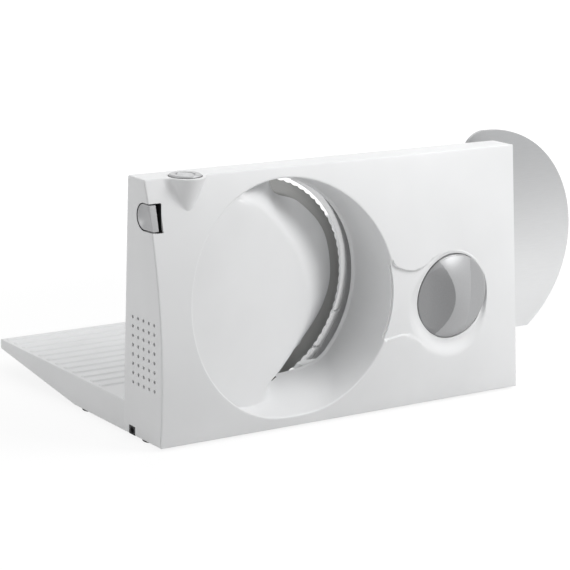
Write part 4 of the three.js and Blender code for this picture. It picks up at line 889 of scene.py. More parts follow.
wall_top = dish(dish_angle, rim_v + RIM_EDGE)
rim_step = points(rim[:, 0], face_y(rim[:, 0], rim[:, 2]), rim[:, 2])
rim_curve = bend(left_field[0], rim_step, wall_top, np.linspace(0, 1, 7)[1:-1, None, None])
wall_share = np.concatenate([np.linspace(0, 0.94, DISH_ROWS), BEVEL_ROWS])[:, None]
wall = dish(dish_angle[None], (rim_v + RIM_EDGE) * (1 - wall_share))
left_sheet = skin(np.concatenate([wall[::-1], rim_curve[::-1], left_field]))
print("dish rim from", np.round(rim[:, 0].min(), 1), "to", np.round(rim[:, 0].max(), 1), "mm along the front")

# %% [markdown]
# The right field runs from the knob's gap out to the outline. Its rows lie close where the cup's wall is
# steep and where the gap round the knob drops.

# %% Field around the knob
GAP_EDGE = KNOB_RADIUS + KNOB_GAP
CUP_ROWS = np.array([
    26, GAP_EDGE - 0.02, GAP_EDGE + 0.02, 34.4, 34.6, 34.8, 35, 35.2, 35.5, 35.8, 36.1, 36.4, 36.7, 37.1,
    37.6, 38.3, 39.2, 40.3, 41.5, 43, 44.5, 45.8, 46.8, 47.8, 49])
knob_angle = np.arctan2(right_z - knob_z, right_x - knob_x)
reach = np.hypot(right_x - knob_x, right_z - knob_z)
beyond = CUP_ROWS[-1] + np.linspace(0, 1, 12)[1:, None] * (reach - CUP_ROWS[-1])
radii = np.concatenate([np.broadcast_to(CUP_ROWS[:, None], (len(CUP_ROWS), len(reach))), beyond])
right_field_x = knob_x + radii * np.cos(knob_angle)
right_field_z = knob_z + radii * np.sin(knob_angle)
right_field = points(right_field_x, face_y(right_field_x, right_field_z), right_field_z)
right_sheet = skin(right_field)
print("knob field", right_field.shape)

# %% [markdown]
# The shell's outer edge turns back with a small radius and runs on as a narrow lip. The rear shell starts a
# hair behind it, so a thin dark seam runs right behind the corner. Towards the right end the seam closes, as
# on the real moulding.

# %% Outer edge and lip
LIP = 0.85


def edge_strip(x, z, out):
    """From the inset outline a quadratic curve runs over the corner, then the lip goes straight back."""
    side = np.stack([np.cos(out), np.sin(out)], -1) * EDGE
    corner_x, corner_z = x + side[:, 0], z + side[:, 1]
    first = points(x, face_y(x, z), z)
    corner = points(corner_x, front_y(corner_z) + unbow(corner_x, corner_z), corner_z)
    behind = corner + np.array([0, EDGE, 0])
    curve = bend(first, corner, behind, np.linspace(0, 1, 7)[:, None, None])
    lip = corner + np.array([0, LIP, 0])
    return skin(np.concatenate([curve, lip[None]]), wrap=False)


edge_left = edge_strip(left_x[meet_count:], left_z[meet_count:], left_out[meet_count:])
edge_right = edge_strip(right_x[meet_count:], right_z[meet_count:], right_out[meet_count:])
front_shell = shape("front_shell", left_sheet, right_sheet, edge_left, edge_right, sharp=40)
print("front shell", len(front_shell.data.polygons), "faces")

# %% [markdown]
# ## The gear cover in the dish
#
# The blade's gears sit behind a cover that fills the left of the dish. Its face is a sloping plane that
# meets the dish wall on the left and is held softly behind the front where it would stand ahead of it. On
# the right it turns over a curved shoulder into a flank that falls to a circle just in front of the blade. At
# the foot it runs out on the dish's ramp with a wide fillet. The shoulder and the flank's end are two curves
# drawn through a few points, because no simple formula gives their flow.

# %% Lines of the gear cover
FLANK_V = 11.5
SHOULDER = [
    (-89.4, 178.8), (-72, 169.5), (-52, 152), (-32, 128.6), (-20, 105), (-16.5, 88), (-19, 74), (-31.5, 55),
    (-46.5, 39.6), (-57.5, 30.5), (-61, 25), (-62.5, 19), (-62.5, 13.7)]
FLANK_END = [
    (-60, FLANK_V, 186), (-42, FLANK_V, 180), (-33, FLANK_V, 165.5), (-10.9, FLANK_V, 156.6),
    (13.8, FLANK_V, 131.9), (22.9, FLANK_V, 98), (18, FLANK_V, 72.6), (3.1, FLANK_V, 50.1),
    (-13, FLANK_V, 38.2), (-36, FLANK_V, 28.5), (-38, 5, 23), (-35, -8, 18.3), (-33, -30, 13.7)]
LAST_TURN = math.radians(257.5)
COVER_U, COVER_W, COVER_V, COVER_SLOPE_U, COVER_SLOPE_W = -20, 105, -20, 0.24, 0.05
COVER_FLUSH, FLUSH_BLEND, FRONT_START, FRONT_PASSES = 1.1, 3.0, -50.0, 3


def dome_v(u, w):
    """The cover's plane: v = -20 + 0.24 (u + 20) + 0.05 (w - 105)."""
    return COVER_V + COVER_SLOPE_U * (u - COVER_U) + COVER_SLOPE_W * (w - COVER_W)


def front_v(u, w):
    """Depth of the bowed front at a point of the leaning frame, found in a few passes."""
    v = np.full_like(u, FRONT_START)
    c, s = math.cos(LEAN), math.sin(LEAN)
    for _ in range(FRONT_PASSES):
        v = (front_y(v * s + w * c) - DEPTH + w * s) / c
    return v


def cover_v(u, w):
    """The cover's plane, held back softly where it would stand ahead of the front."""
    return -smooth_min(-dome_v(u, w), -front_v(u, w) - COVER_FLUSH, FLUSH_BLEND)


print("shoulder through", len(SHOULDER), "points, flank's end through", len(FLANK_END))

# %% Where the cover meets the dish
COVER_LAP, MEET_START, MEET_PASSES = 0.6, -40.0, 30
FOOT_FILLET, FOOT_PROUD = 11.0, 0.05
FOOT_FROM, FOOT_RUN, RAMP_FROM, RAMP_RUN = 0.7, 0.2, 0.8, 0.12


def meeting_wall(angle):
    """Where the face meets the dish: a little inside the wall, and past the fillet at the foot."""
    v = np.full_like(angle, MEET_START)
    flush = rim_depth(angle) + COVER_FLUSH
    past = FOOT_FILLET * smooth_step((-np.sin(angle) - FOOT_FROM) / FOOT_RUN)
    for _ in range(MEET_PASSES):
        edge = in_plane(dish(angle, v))
        out = edge[..., [0, 2]] - [RIM_U, RIM_W]
        edge[..., [0, 2]] += COVER_LAP * out / np.linalg.norm(out, axis=-1, keepdims=True)
        v = 0.5 * v + 0.5 * np.maximum(cover_v(edge[..., 0], edge[..., 2]) - past, flush)
    return edge


def on_ramp(rows):
    """The cover runs out on the ramp: the lesser depth of cover and dish, with a wide fillet between them."""
    u, v, w = np.moveaxis(rows, -1, 0)
    below = (RIM_W - w) / np.hypot(u - RIM_U, w - RIM_W)
    joined = smooth_min(v, dish_depth(u, w) - FOOT_PROUD, FOOT_FILLET)
    joined = np.maximum(joined, front_v(u, w) + COVER_FLUSH)
    rows[..., 1] = v + smooth_step((below - RAMP_FROM) / RAMP_RUN) * (joined - v)
    return rows


first_turn = math.atan2(SHOULDER[0][1] - RIM_W, SHOULDER[0][0] - RIM_U)
print("cover meets the dish from", round(math.degrees(first_turn)), "to", round(math.degrees(LAST_TURN)))

# %% [markdown]
# A ruled surface joins the dish wall to the shoulder and the shoulder to the flank's end. The shoulder is
# rounded with a quadratic curve that grows softer towards its two ends, and the face has a slight crown, so
# that light moves over it as over a real moulding.

# %% Gear cover
COVER_COLUMNS, FACE_ROWS, ROUND_ROWS, FLANK_ROWS = 220, 26, 12, 16
COVER_CROWN, COVER_WALL = 0.6, 1.6
SHOULDER_ROUND, TOP_SOFT, FOOT_SOFT, MOST_SOFT = 6.0, 4.0, 9.0, 0.6
TOP_SHARE, FOOT_SHARE = 0.22, 0.3

edge_line = through(SHOULDER, COVER_COLUMNS)
flank_end = through(FLANK_END, COVER_COLUMNS)
shoulder = np.stack([edge_line[:, 0], cover_v(*edge_line.T), edge_line[:, 1]], -1)
left_edge = meeting_wall(np.linspace(first_turn, LAST_TURN, COVER_COLUMNS))

along = np.linspace(0, 1, COVER_COLUMNS)[:, None]
to_top, to_foot = 1 - smooth_step(along / TOP_SHARE), 1 - smooth_step((1 - along) / FOOT_SHARE)
soft = SHOULDER_ROUND + TOP_SOFT * to_top + FOOT_SOFT * to_foot
on_face = (left_edge - shoulder) * [1, 0, 1]
face_run = np.linalg.norm(on_face, axis=1, keepdims=True)
inset_point = shoulder + on_face / face_run * np.minimum(soft, face_run * MOST_SOFT)
inset_point[:, 1] = cover_v(inset_point[:, 0], inset_point[:, 2])
down = flank_end - shoulder
flank_point = shoulder + down / np.linalg.norm(down, axis=1, keepdims=True) * soft

over_face = np.linspace(0, 1, FACE_ROWS)[:, None, None]
face_rows = left_edge + over_face * (inset_point - left_edge)
crown = COVER_CROWN * 4 * over_face * (1 - over_face)
face_rows[..., 1] = cover_v(face_rows[..., 0], face_rows[..., 2]) - crown[..., 0]
round_rows = bend(inset_point, shoulder, flank_point, np.linspace(0, 1, ROUND_ROWS)[1:-1, None, None])
flank_rows = flank_point + np.linspace(0, 1, FLANK_ROWS)[:, None, None] * (flank_end - flank_point)
cover_rows = on_ramp(np.concatenate([face_rows, round_rows, flank_rows]))
gear_cover = shape("gear_cover", skin(lean(*np.moveaxis(cover_rows, -1, 0)), wrap=False), sharp=50)
thicken(gear_cover, COVER_WALL, (0, -1, 0))
set_in(gear_cover, white_plastic, "housing", "housing_white", "front_housing")

# %% [markdown]
# Where the flank leaves the ramp, a narrow slit opens towards the blade, and its shade is painted: a thin
# black sheet just over the ramp, a point at the front, that widens to the back. A real gap could be cut, but
# it would be finer than the cover's own grid.

# %% Painted shade of the slit at the cover's foot
SLIT_TIP_V, SLIT_U, SLIT_DRIFT, SLIT_WIDE, SLIT_FLARE = -10.5, -42.5, -2, 19.5, 0.4
SLIT_LIFT, SLIT_WALL = 0.3, 0.6
backwards, sideways = np.linspace(0, 1, 16)[:, None], np.linspace(0, 1, 8)
slit_v = SLIT_TIP_V * (1 - backwards)
slit_u = SLIT_U + backwards * (SLIT_DRIFT + sideways * SLIT_WIDE * backwards ** SLIT_FLARE)
slit = lean(slit_u, slit_v, RAMP_W + RAMP_SLOPE * slit_v + SLIT_LIFT)
# The black sheet is painted shade, where the slit is dark.
slit_painted_shade = shape("slit_painted_shade", skin(slit, wrap=False))
thicken(slit_painted_shade, SLIT_WALL, (0, 0, 1))
set_in(slit_painted_shade, black_plastic, "housing", "black_plastic")

# %% [markdown]
# ## The boss under the top button
#
# The button stands a little ahead of the bowed front, so a half cone runs down from it and dies out in the
# face. Each level section is a circle arc with two fillets to the straight line of the face. The fillet's
# centre lies its own radius ahead of the face and one radius sum away from the cone's axis, which gives
# both tangent points at once. A bevel modifier would fail where the cone runs out in the face. A bore down
# the middle leaves room for the button.

# %% Section of the boss
BUTTON_X, BUTTON_Y, BUTTON_BORE = -134.0, 22.0, 6.9
BOSS_TOP_RADIUS, BOSS_FILLET, BOSS_EDGE = 15.0, 8.0, 1.0
BOSS_TIP_X, BOSS_TIP_Y, BOSS_TIP_Z, BOSS_TIP_RADIUS = -137.0, 19.0, 166.0, 5.0
BOSS_LAP, BOSS_BEHIND, BOSS_LIFT, BOSS_LEAST = 0.02, 6, 0.03, 0.01
FILLET_COUNT, ARC_COUNT = 12, 40


def boss_section(z, shrink):
    """Closed ring at a height: left fillet, front arc, right fillet, and a straight run behind the face."""
    up = (z - BOSS_TIP_Z) / (HEIGHT - BOSS_TIP_Z)
    x0 = BOSS_TIP_X + up * (BUTTON_X - BOSS_TIP_X)
    y0 = BOSS_TIP_Y + up * (BUTTON_Y - BOSS_TIP_Y)
    r = BOSS_TIP_RADIUS + up * (BOSS_TOP_RADIUS - BOSS_TIP_RADIUS) - shrink
    over = np.clip((z - HEIGHT + EDGE) / EDGE, 0, 1)
    face = front_y(z) - BOSS_LAP + EDGE * (1 - np.sqrt(1 - over)) ** 2
    drop = y0 - face + BOSS_FILLET
    side = np.sqrt(np.maximum((r + BOSS_FILLET) ** 2 - drop ** 2, 0))
    lean_in = np.arctan2(drop, side)
    fillet = math.pi / 2 + np.linspace(0, 1, FILLET_COUNT) * (lean_in - math.pi / 2)[:, None]
    left_x = (x0 - side)[:, None] + BOSS_FILLET * np.cos(fillet)
    left_y = (face - BOSS_FILLET)[:, None] + BOSS_FILLET * np.sin(fillet)
    arc = -math.pi + lean_in[:, None] + np.linspace(0, 1, ARC_COUNT) * (math.pi - 2 * lean_in)[:, None]
    arc_x, arc_y = x0[:, None] + r[:, None] * np.cos(arc), y0[:, None] + r[:, None] * np.sin(arc)
    right_x = 2 * x0[:, None] - left_x[:, ::-1]
    behind_y = (face + BOSS_BEHIND)[:, None]
    x = np.concatenate([left_x, arc_x[:, 1:-1], right_x, right_x[:, -1:], left_x[:, :1]], 1)
    y = np.concatenate([left_y, arc_y[:, 1:-1], left_y[:, ::-1], behind_y, behind_y], 1)
    return points(x, y, z[:, None])


level = np.linspace(BOSS_TIP_Z, HEIGHT, 400)
share_up = (level - BOSS_TIP_Z) / (HEIGHT - BOSS_TIP_Z)
proud = (front_y(level) - BOSS_TIP_Y - (BUTTON_Y - BOSS_TIP_Y) * share_up
         + BOSS_TIP_RADIUS + (BOSS_TOP_RADIUS - BOSS_TIP_RADIUS) * share_up)
boss_foot = level[np.argmax(proud > BOSS_LEAST)]
print("the boss leaves the face at", round(float(boss_foot), 1), "mm")

# %% Button boss
BOSS_ROWS, BOSS_POWER = 50, 1.3
BORE_DOWN, BORE_UP = 25, 5
about_button = upright(BUTTON_X, BUTTON_Y)


def peg(name, radius, place, low, high, segments=48):
    """A round cutter along an axis."""
    return shape(name, turned([(0, low), (radius, low), (radius, high), (0, high)], place, segments))


quarter = np.linspace(0, math.pi / 2, 6)[1:]
boss_z = np.concatenate([
    boss_foot + (HEIGHT - BOSS_EDGE - boss_foot) * np.linspace(0, 1, BOSS_ROWS) ** BOSS_POWER,
    HEIGHT + BOSS_LIFT - BOSS_EDGE * (1 - np.sin(quarter))])
boss_shrink = np.concatenate([np.zeros(BOSS_ROWS), BOSS_EDGE * (1 - np.cos(quarter))])
boss = shape("button_boss", skin(boss_section(boss_z, boss_shrink), caps=(True, True)))
carved(boss, peg("button_bore", BUTTON_BORE, about_button, HEIGHT - BORE_DOWN, HEIGHT + BORE_UP))
set_in(boss, white_plastic, "housing", "housing_white", "front_housing")

# %% [markdown]
# ## Buttons
#
# The on and off button is a dished silver cap that moves in a rounded silver ring. A narrow black seat under
# the ring gives it a dark outline, partly the seat itself and partly painted shadow. Bevelled cylinders would
# do for a flat button, but the dish, rim and skirt are simpler as one profile of radius and height over the
# housing's top, turned about the axis.

# %% Top button, ring and seat
CAP_RADIUS, CAP_SKIRT, STEM, STEM_FOOT = 6.6, -6.4, 3.0, -19.4
RING_INNER, RING_OUTER, RING_FOOT, RING_TOP = 7.0, 11.9, -2.2, 1.7
SEAT_INNER, SEAT_OUTER, SEAT_FOOT, SEAT_TOP = 6.85, 12.5, -3.0, 0.3
over_top = np.array([0, HEIGHT])


def closed_ring(inner, outer, foot, top, radius, steps=6):
    """A rectangle of radius and height with eased corners, closed on itself."""
    outline = rounded(over_top + [(inner, foot), (outer, foot), (outer, top), (inner, top)], radius, steps)
    return np.concatenate([outline, outline[:1]])


cap = eased(over_top + [
    (0, 0.3), (3.0, 0.6), (5.7, 1.5), (CAP_RADIUS, 0.8), (CAP_RADIUS, CAP_SKIRT), (STEM, CAP_SKIRT),
    (STEM, STEM_FOOT), (0, STEM_FOOT)], [1.6, 0.7, 0.5, 0.5, 0.5, 0.5])
set_in(shape("on_off_cap", turned(cap, about_button)),
       silver_coat, "on_off_button", "silver_trim", "on_off_button")
ring = closed_ring(RING_INNER, RING_OUTER, RING_FOOT, RING_TOP, [0.2, 0.2, 1.7, 1.3])
set_in(shape("button_ring_trim", turned(ring, about_button)),
       silver_coat, "housing", "silver_trim", "button_ring")
# The black seat is partly a real seat and partly painted shadow under the ring.
seat = closed_ring(SEAT_INNER, SEAT_OUTER, SEAT_FOOT, SEAT_TOP, 0.15, 3)
set_in(shape("button_seat_and_shadow", turned(seat, about_button)), black_plastic, "housing", "black_plastic")

# %% [markdown]
# The catch on the left end is a D-shaped silver cap with a thumb dish. It reaches round the corner to the
# front. Rings of the same D outline, drawn in step by step, make the dish, the rounded shoulder and the
# sides.

# %% Side catch
CATCH_Y, CATCH_Z, CATCH_RADIUS, CATCH_GAP = 22.0, 166.3, 10.25, 0.7
CATCH_BACK = -LENGTH / 2 + 6.0
CATCH_DISH, CATCH_AHEAD, CATCH_SUNK = 2.8, 0.35, 0.25
DISH_Y, DISH_SHARE, SHOULDER_DROP, BACK_STEP = 20.5, 0.93, 0.9, 0.5
STEM_Y, STEM_RADIUS, STEM_LAP, STEM_END = 26.1, 3.0, 1.0, -152.5
about_stem = endways(STEM_Y, CATCH_Z)


def catch_ring(grow, ahead, count=40):
    """D outline seen from the end: straight up the bowed front, a half circle at the rear."""
    r = CATCH_RADIUS + grow
    arc = np.linspace(-math.pi / 2, math.pi / 2, count)
    z_front = np.linspace(CATCH_Z + r, CATCH_Z - r, count)[1:-1]
    y = np.concatenate([CATCH_Y + r * np.cos(arc), front_y(z_front) + ahead])
    z = np.concatenate([CATCH_Z + r * np.sin(arc), z_front])
    return np.stack([y, z], -1)


def outer_x(z):
    """The catch's outer face follows the housing's end, a little behind it."""
    return -half_length(z) + CATCH_SUNK


rim_ring = catch_ring(-CATCH_GAP, CATCH_AHEAD)
dish_middle_yz = np.array([DISH_Y, CATCH_Z])
outwards = np.linspace(0, 1, 16)[:, None]
dished = dish_middle_yz + outwards[..., None] * DISH_SHARE * (rim_ring - dish_middle_yz)
dish_rows = points(
    outer_x(dished[..., 1]) + CATCH_DISH * (1 - outwards ** 2), dished[..., 0], dished[..., 1])
over = np.linspace(0, 1, 6)[1:, None]
shoulder_yz = dished[-1] + (1 - (1 - over[..., None]) ** 2) * (rim_ring - dished[-1])
shoulder_rows = points(
    outer_x(rim_ring[:, 1]) + SHOULDER_DROP * over ** 2, shoulder_yz[..., 0], shoulder_yz[..., 1])
back_rows = points(np.array([[CATCH_BACK - BACK_STEP], [CATCH_BACK]]), rim_ring[:, 0], rim_ring[:, 1])
catch_body = skin(np.concatenate([dish_rows, shoulder_rows, back_rows]), caps=(False, True))
stem_start = CATCH_BACK - STEM_LAP
stem = turned([(0, stem_start), (STEM_RADIUS, stem_start), (STEM_RADIUS, STEM_END), (0, STEM_END)],
              about_stem, 32)
set_in(shape("corner_catch", catch_body, stem),
       silver_coat, "safety_button", "silver_trim", "safety_button")

# %% [markdown]
# The catch moves in a pocket whose shade is painted with thin black sheets: the side that shows as a black
# strip on the front, and a cup whose end has a hole for the stem. Thin sheets are enough, because only their
# faces are seen.

# %% Painted shade in the catch's pocket
POCKET_FLOOR = -154.5
GAP_WALL = CATCH_BACK + 3.6
SHADE_SHEET, SHADE_SHEET_GAP, SHADE_SHEET_AHEAD, STEM_ROOM, MOUTH_IN = 0.12, 0.02, 1.2, 0.4, 0.4
SIDE_FROM, SIDE_TO, CRISP = 13.2, 20.0, 0.02
shade_sheet_radius = CATCH_RADIUS - SHADE_SHEET_GAP
shade_sheet_foot, shade_sheet_top = CATCH_Z - shade_sheet_radius, CATCH_Z + shade_sheet_radius
shade_sheet_outline = [(GAP_WALL - SHADE_SHEET, shade_sheet_foot), (GAP_WALL, shade_sheet_foot), (GAP_WALL, shade_sheet_top),
                 (GAP_WALL - SHADE_SHEET, shade_sheet_top)]
# The black strip on the front is painted shade in the catch's gap.
shade_sheet_side = plate(np.array(shade_sheet_outline), SIDE_FROM, SIDE_TO, CRISP, frontways(), 2)

half_turn = np.linspace(-math.pi / 2, math.pi / 2, 40)
wall_z = np.concatenate([[shade_sheet_foot], CATCH_Z + shade_sheet_radius * np.sin(half_turn), [shade_sheet_top]])
wall_y = np.concatenate([[0], CATCH_Y + shade_sheet_radius * np.cos(half_turn), [0]])
wall_y[[0, -1]] = front_y(wall_z[[0, -1]]) + SHADE_SHEET_AHEAD
mouth_x, floor_x = MOUTH_IN - half_length(CATCH_Z), POCKET_FLOOR - SHADE_SHEET
walls = points(np.array([[mouth_x], [floor_x]]), wall_y, wall_z)
end_ring = catch_ring(-SHADE_SHEET_GAP, SHADE_SHEET_AHEAD)
from_stem = end_ring - [STEM_Y, CATCH_Z]
from_stem /= np.linalg.norm(from_stem, axis=1, keepdims=True)
end_rings = np.stack([end_ring, [STEM_Y, CATCH_Z] + from_stem * (STEM_RADIUS + STEM_ROOM)])
pocket_end = points(floor_x, end_rings[..., 0], end_rings[..., 1])
# The black cup in the pocket is painted shade.
pocket_painted_shade = shape("pocket_painted_shade", skin(walls, wrap=False), skin(pocket_end))
thicken(pocket_painted_shade, SHADE_SHEET, (-1, -1, 0))
set_in(pocket_painted_shade, black_plastic, "housing", "black_plastic")
set_in(shape("catch_gap_painted_shade", shade_sheet_side), black_plastic, "housing", "black_plastic")

# %% [markdown]
# ## The rear shell
#
# Behind the seam the housing is a plain tub that is open to the front. It is lofted from level sections
# with rounded rear corners, then hollowed and pierced: the round hole behind the dish, forty vents and the
# catch's pocket in the left end, the top button's bore, the seats of four screws, the bores of the guide
# posts. Booleans suit these, because all of them have crisp edges.

# %% Tub
SEAM, SEAM_CLOSED = 0.35, 0.02
REAR_EDGE, REAR_ROUND, SEAM_ROUND, WALL = 1.3, 2.2, 0.05, 2.5
TUB_LEVELS, TUB_END = 24, 8
quarter = np.linspace(0, math.pi / 2, 6)
draw_sin, draw_cos = REAR_EDGE * (1 - np.sin(quarter)), REAR_EDGE * (1 - np.cos(quarter))
tub_z = np.concatenate([draw_cos, np.linspace(TUB_END, HEIGHT - TUB_END, TUB_LEVELS), HEIGHT - draw_sin])
tub_inset = np.concatenate([draw_sin, np.zeros(TUB_LEVELS), draw_cos])


def tub_section(z, inset):
    """Level outline: front corners on the seam, which closes to the right, and rounded rear corners."""
    x, y0, y1 = half_length(z) - inset, front_y(z) + LIP + SEAM, back_y(z) - inset
    right_y0 = y0 - SEAM + SEAM_CLOSED + unbow(x, z)
    corners = [SEAM_ROUND, SEAM_ROUND, REAR_ROUND, REAR_ROUND]
    section = rounded([(-x, y0), (x, right_y0), (x, y1), (-x, y1)], corners)
    return np.column_stack([section, np.full(len(section), z)])


tub_rings = np.stack([tub_section(z, inset) for z, inset in zip(tub_z, tub_inset)])
tub = shape("rear_shell", skin(tub_rings, caps=(True, True)))
print("tub", tub_rings.shape[0], "levels")

# %% Cutters of the tub
VENT_COLUMNS, VENT_ROWS, VENT_PITCH_Y, VENT_PITCH_Z, VENT_RADIUS = 5, 8, 7.6, 7.0, 1.4
VENT_Y, VENT_Z, VENT_FROM, VENT_TO = 23.5, 65.5, -175, -158
CAVITY_X, CAVITY_FRONT, CAVITY_FLOOR = 166, -40, 4.0
GUIDES, GUIDE_BORE, TUBE_BORE = [(70, 150), (130, 40)], 7.1, 10.7
SCREWS, SCREW_SEAT, SEAT_DEEP = [(157, 172), (157, 40), (52, 40), (52, 176)], 3.3, -1.4
HOLE_FRONT, HOLE_BACK, HOLE_ROOM, TUB_BORE_DOWN = -20, 5, 2.8, 12
NOTCH_Y, NOTCH_WIDTH, NOTCH_HEIGHT, NOTCH_DEEP = 41.0, 9.0, 7.0, 8
OUTSIDE_X, BELOW, POCKET_AHEAD = -190, -3, -20
REBATE_X, REBATE_Y0, REBATE_Y1, REBATE_Z = 150.5, 5.5, 50.0, 2.2


def block(name, x0, x1, y0, y1, z0, z1):
    """A plain cutter; y limits may differ at foot and top."""
    y0, y1 = np.broadcast_to(y0, 2), np.broadcast_to(y1, 2)
    ring = lambda k, z: points(np.array([x0, x1, x1, x0]), np.array([y0[k], y0[k], y1[k], y1[k]]), z)
    return shape(name, skin(np.stack([ring(0, z0), ring(1, z1)]), caps=(True, True)))


vent_y = VENT_Y + (np.arange(VENT_COLUMNS) - (VENT_COLUMNS - 1) / 2) * VENT_PITCH_Y
vent_z = VENT_Z + (np.arange(VENT_ROWS) - (VENT_ROWS - 1) / 2) * VENT_PITCH_Z
vent = [(0, VENT_FROM), (VENT_RADIUS, VENT_FROM), (VENT_RADIUS, VENT_TO), (0, VENT_TO)]
vents = shape("vents", *[turned(vent, endways(y, z), 20) for y in vent_y for z in vent_z])
cavity_z = np.array([CAVITY_FLOOR, HEIGHT - WALL])
cavity = block("cavity", WALL - CAVITY_X, CAVITY_X - WALL, CAVITY_FRONT, back_y(cavity_z) - WALL, *cavity_z)
dish_hole = peg("dish_hole", BACK_RADIUS + HOLE_ROOM, on_plane(BACK_U, BACK_W), HOLE_FRONT, -HOLE_FRONT, 160)
bores = [peg(f"guide_{k}", GUIDE_BORE, on_plane(*spot), HOLE_FRONT, HOLE_BACK)
         for k, spot in enumerate(GUIDES)]
bores += [peg(f"screw_{k}", SCREW_SEAT, on_plane(*spot), SEAT_DEEP, HOLE_BACK)
          for k, spot in enumerate(SCREWS)]
bores += [peg("tube", TUBE_BORE, on_plane(KNOB_U, KNOB_W), HOLE_FRONT, HOLE_BACK)]
bores += [peg("button", BUTTON_BORE, about_button, HEIGHT - TUB_BORE_DOWN, HEIGHT + BORE_UP)]
pocket_outline = catch_ring(0, POCKET_AHEAD)
pocket = shape("pocket", plate(pocket_outline, OUTSIDE_X, POCKET_FLOOR, CRISP, endways(), 2))
notch = block("notch", OUTSIDE_X, NOTCH_DEEP - LENGTH / 2, NOTCH_Y - NOTCH_WIDTH / 2,
              NOTCH_Y + NOTCH_WIDTH / 2, BELOW, NOTCH_HEIGHT)
rebate = block("rebate", -REBATE_X, REBATE_X, REBATE_Y0, REBATE_Y1, BELOW, REBATE_Z)
carved(tub, cavity, dish_hole, vents, pocket, notch, rebate, *bores)
set_in(tub, white_plastic, "housing", "housing_white", "rear_housing")

# %% [markdown]
# The front shell now gets its two windows, one for the catch at the left corner and one under the boss for
# the button, and then its wall.

# %% Front shell with its wall
FRONT_WALL, WINDOW_HALF, WINDOW_DOWN = 2.0, 7.4, 10.5
open_window(front_shell, -LENGTH, GAP_WALL, CATCH_Z - CATCH_RADIUS, CATCH_Z + CATCH_RADIUS)
open_window(front_shell, BUTTON_X - WINDOW_HALF, BUTTON_X + WINDOW_HALF,
            HEIGHT - WINDOW_DOWN, HEIGHT + BORE_UP)
thicken(front_shell, FRONT_WALL, (0, -1, 0))
set_in(front_shell, white_plastic, "housing", "housing_white", "front_housing")

# %% [markdown]
# ## Table and guard
#
# The table is a hollow moulding. Its side profile, with twelve low ribs on top, is carried along the
# housing's length, and the ribs fade out just before the ends. Loose bars on a plate would show a joint that
# a moulding doesn't have, so the ribs rise from the one skin. The guard is a ring segment around the blade's
# left, a rounded section carried along an arc.

# %% Table
TABLE_TOP, TABLE_EDGE, SKIRT_END, TABLE_PLATE, TABLE_ROUND = 25.0, 9.2, 130.0, 3.0, 0.9
RIB_HEIGHT, RIB_WIDTH, RIB_PITCH, RIB_COUNT, RIB_INSET, RIB_END = 1.2, 7.0, 14.0, 12, 4.0, 1.5
RIB_FLANK, RIB_FADE = RIB_WIDTH / 3.2, 2.0
DECK, DECK_COUNT, DECK_EDGE, TABLE_NEAR = TABLE_TOP - RIB_HEIGHT, 420, 1.6, 51.5
END_ROWS = np.array([0.4, 0.9, 1.4, 2.0, 2.6, 3.4, 60])
TABLE_GAP, HOLLOW_X, HOLLOW_FOOT = 0.15, 165.5, -5
SLOT_RADIUS, SLOT_FRONT, SLOT_BACK, DISH_SLOT_BACK = 87, -6, 19, 0.2
rib_y = TABLE_FAR - RIB_INSET - RIB_WIDTH / 2 - RIB_PITCH * np.arange(RIB_COUNT)


def rib_rise(y):
    """Height over the deck: a flat crown with smooth flanks at each rib."""
    away = np.abs(y[..., None] - rib_y).min(-1)
    return RIB_HEIGHT * smooth_step((RIB_WIDTH / 2 - away) / RIB_FLANK)


far_edge = eased([
    (SKIRT_END, 0), (TABLE_FAR, TABLE_TOP - TABLE_EDGE), (TABLE_FAR, DECK), (TABLE_FAR - DECK_EDGE, DECK)],
    [1.2, 1.4], 6)[:-1]
foot_edge = np.column_stack([np.linspace(TABLE_NEAR, SKIRT_END, 12)[:-1], np.zeros(11)])
deck_line = np.column_stack([
    np.linspace(TABLE_FAR - DECK_EDGE, TABLE_NEAR, DECK_COUNT), np.full(DECK_COUNT, DECK)])
side = np.concatenate([foot_edge, far_edge, deck_line])
is_deck = np.arange(len(side)) >= len(side) - DECK_COUNT
quarter = np.linspace(0, math.pi / 2, 5)
reach_in = np.concatenate([TABLE_ROUND * (1 - np.cos(quarter)), TABLE_ROUND + END_ROWS])
draw_in = np.concatenate([TABLE_ROUND * (1 - np.sin(quarter)), np.zeros(len(END_ROWS))])
rings = np.stack([drawn_in(side, d) for d in draw_in])
fade = smooth_step((reach_in - RIB_END) / RIB_FADE)[:, None]
table_z = rings[..., 1] + fade * rib_rise(rings[..., 0]) * is_deck
table_x = half_length(np.clip(table_z, 0, HEIGHT)) - TABLE_GAP - reach_in[:, None]
left_half = points(-table_x, rings[..., 0], table_z)
right_half = points(table_x, rings[..., 0], table_z)[::-1]
table = shape("slicing_table", skin(np.concatenate([left_half, right_half]), caps=(True, True)), sharp=28)
hollow = block("hollow", WALL - HOLLOW_X, HOLLOW_X - WALL, DEPTH + WALL, TABLE_FAR - WALL,
               HOLLOW_FOOT, DECK - TABLE_PLATE)
blade_slot = peg("blade_slot", SLOT_RADIUS, on_plane(BLADE_U, BLADE_W), SLOT_FRONT, SLOT_BACK, 200)
dish_slot = peg("dish_slot", BACK_RADIUS + HOLE_ROOM, on_plane(BACK_U, BACK_W),
                HOLE_FRONT, DISH_SLOT_BACK, 160)
carved(table, hollow, blade_slot, dish_slot, sharp=28)
set_in(table, white_plastic, "housing", "housing_white", "rear_housing")

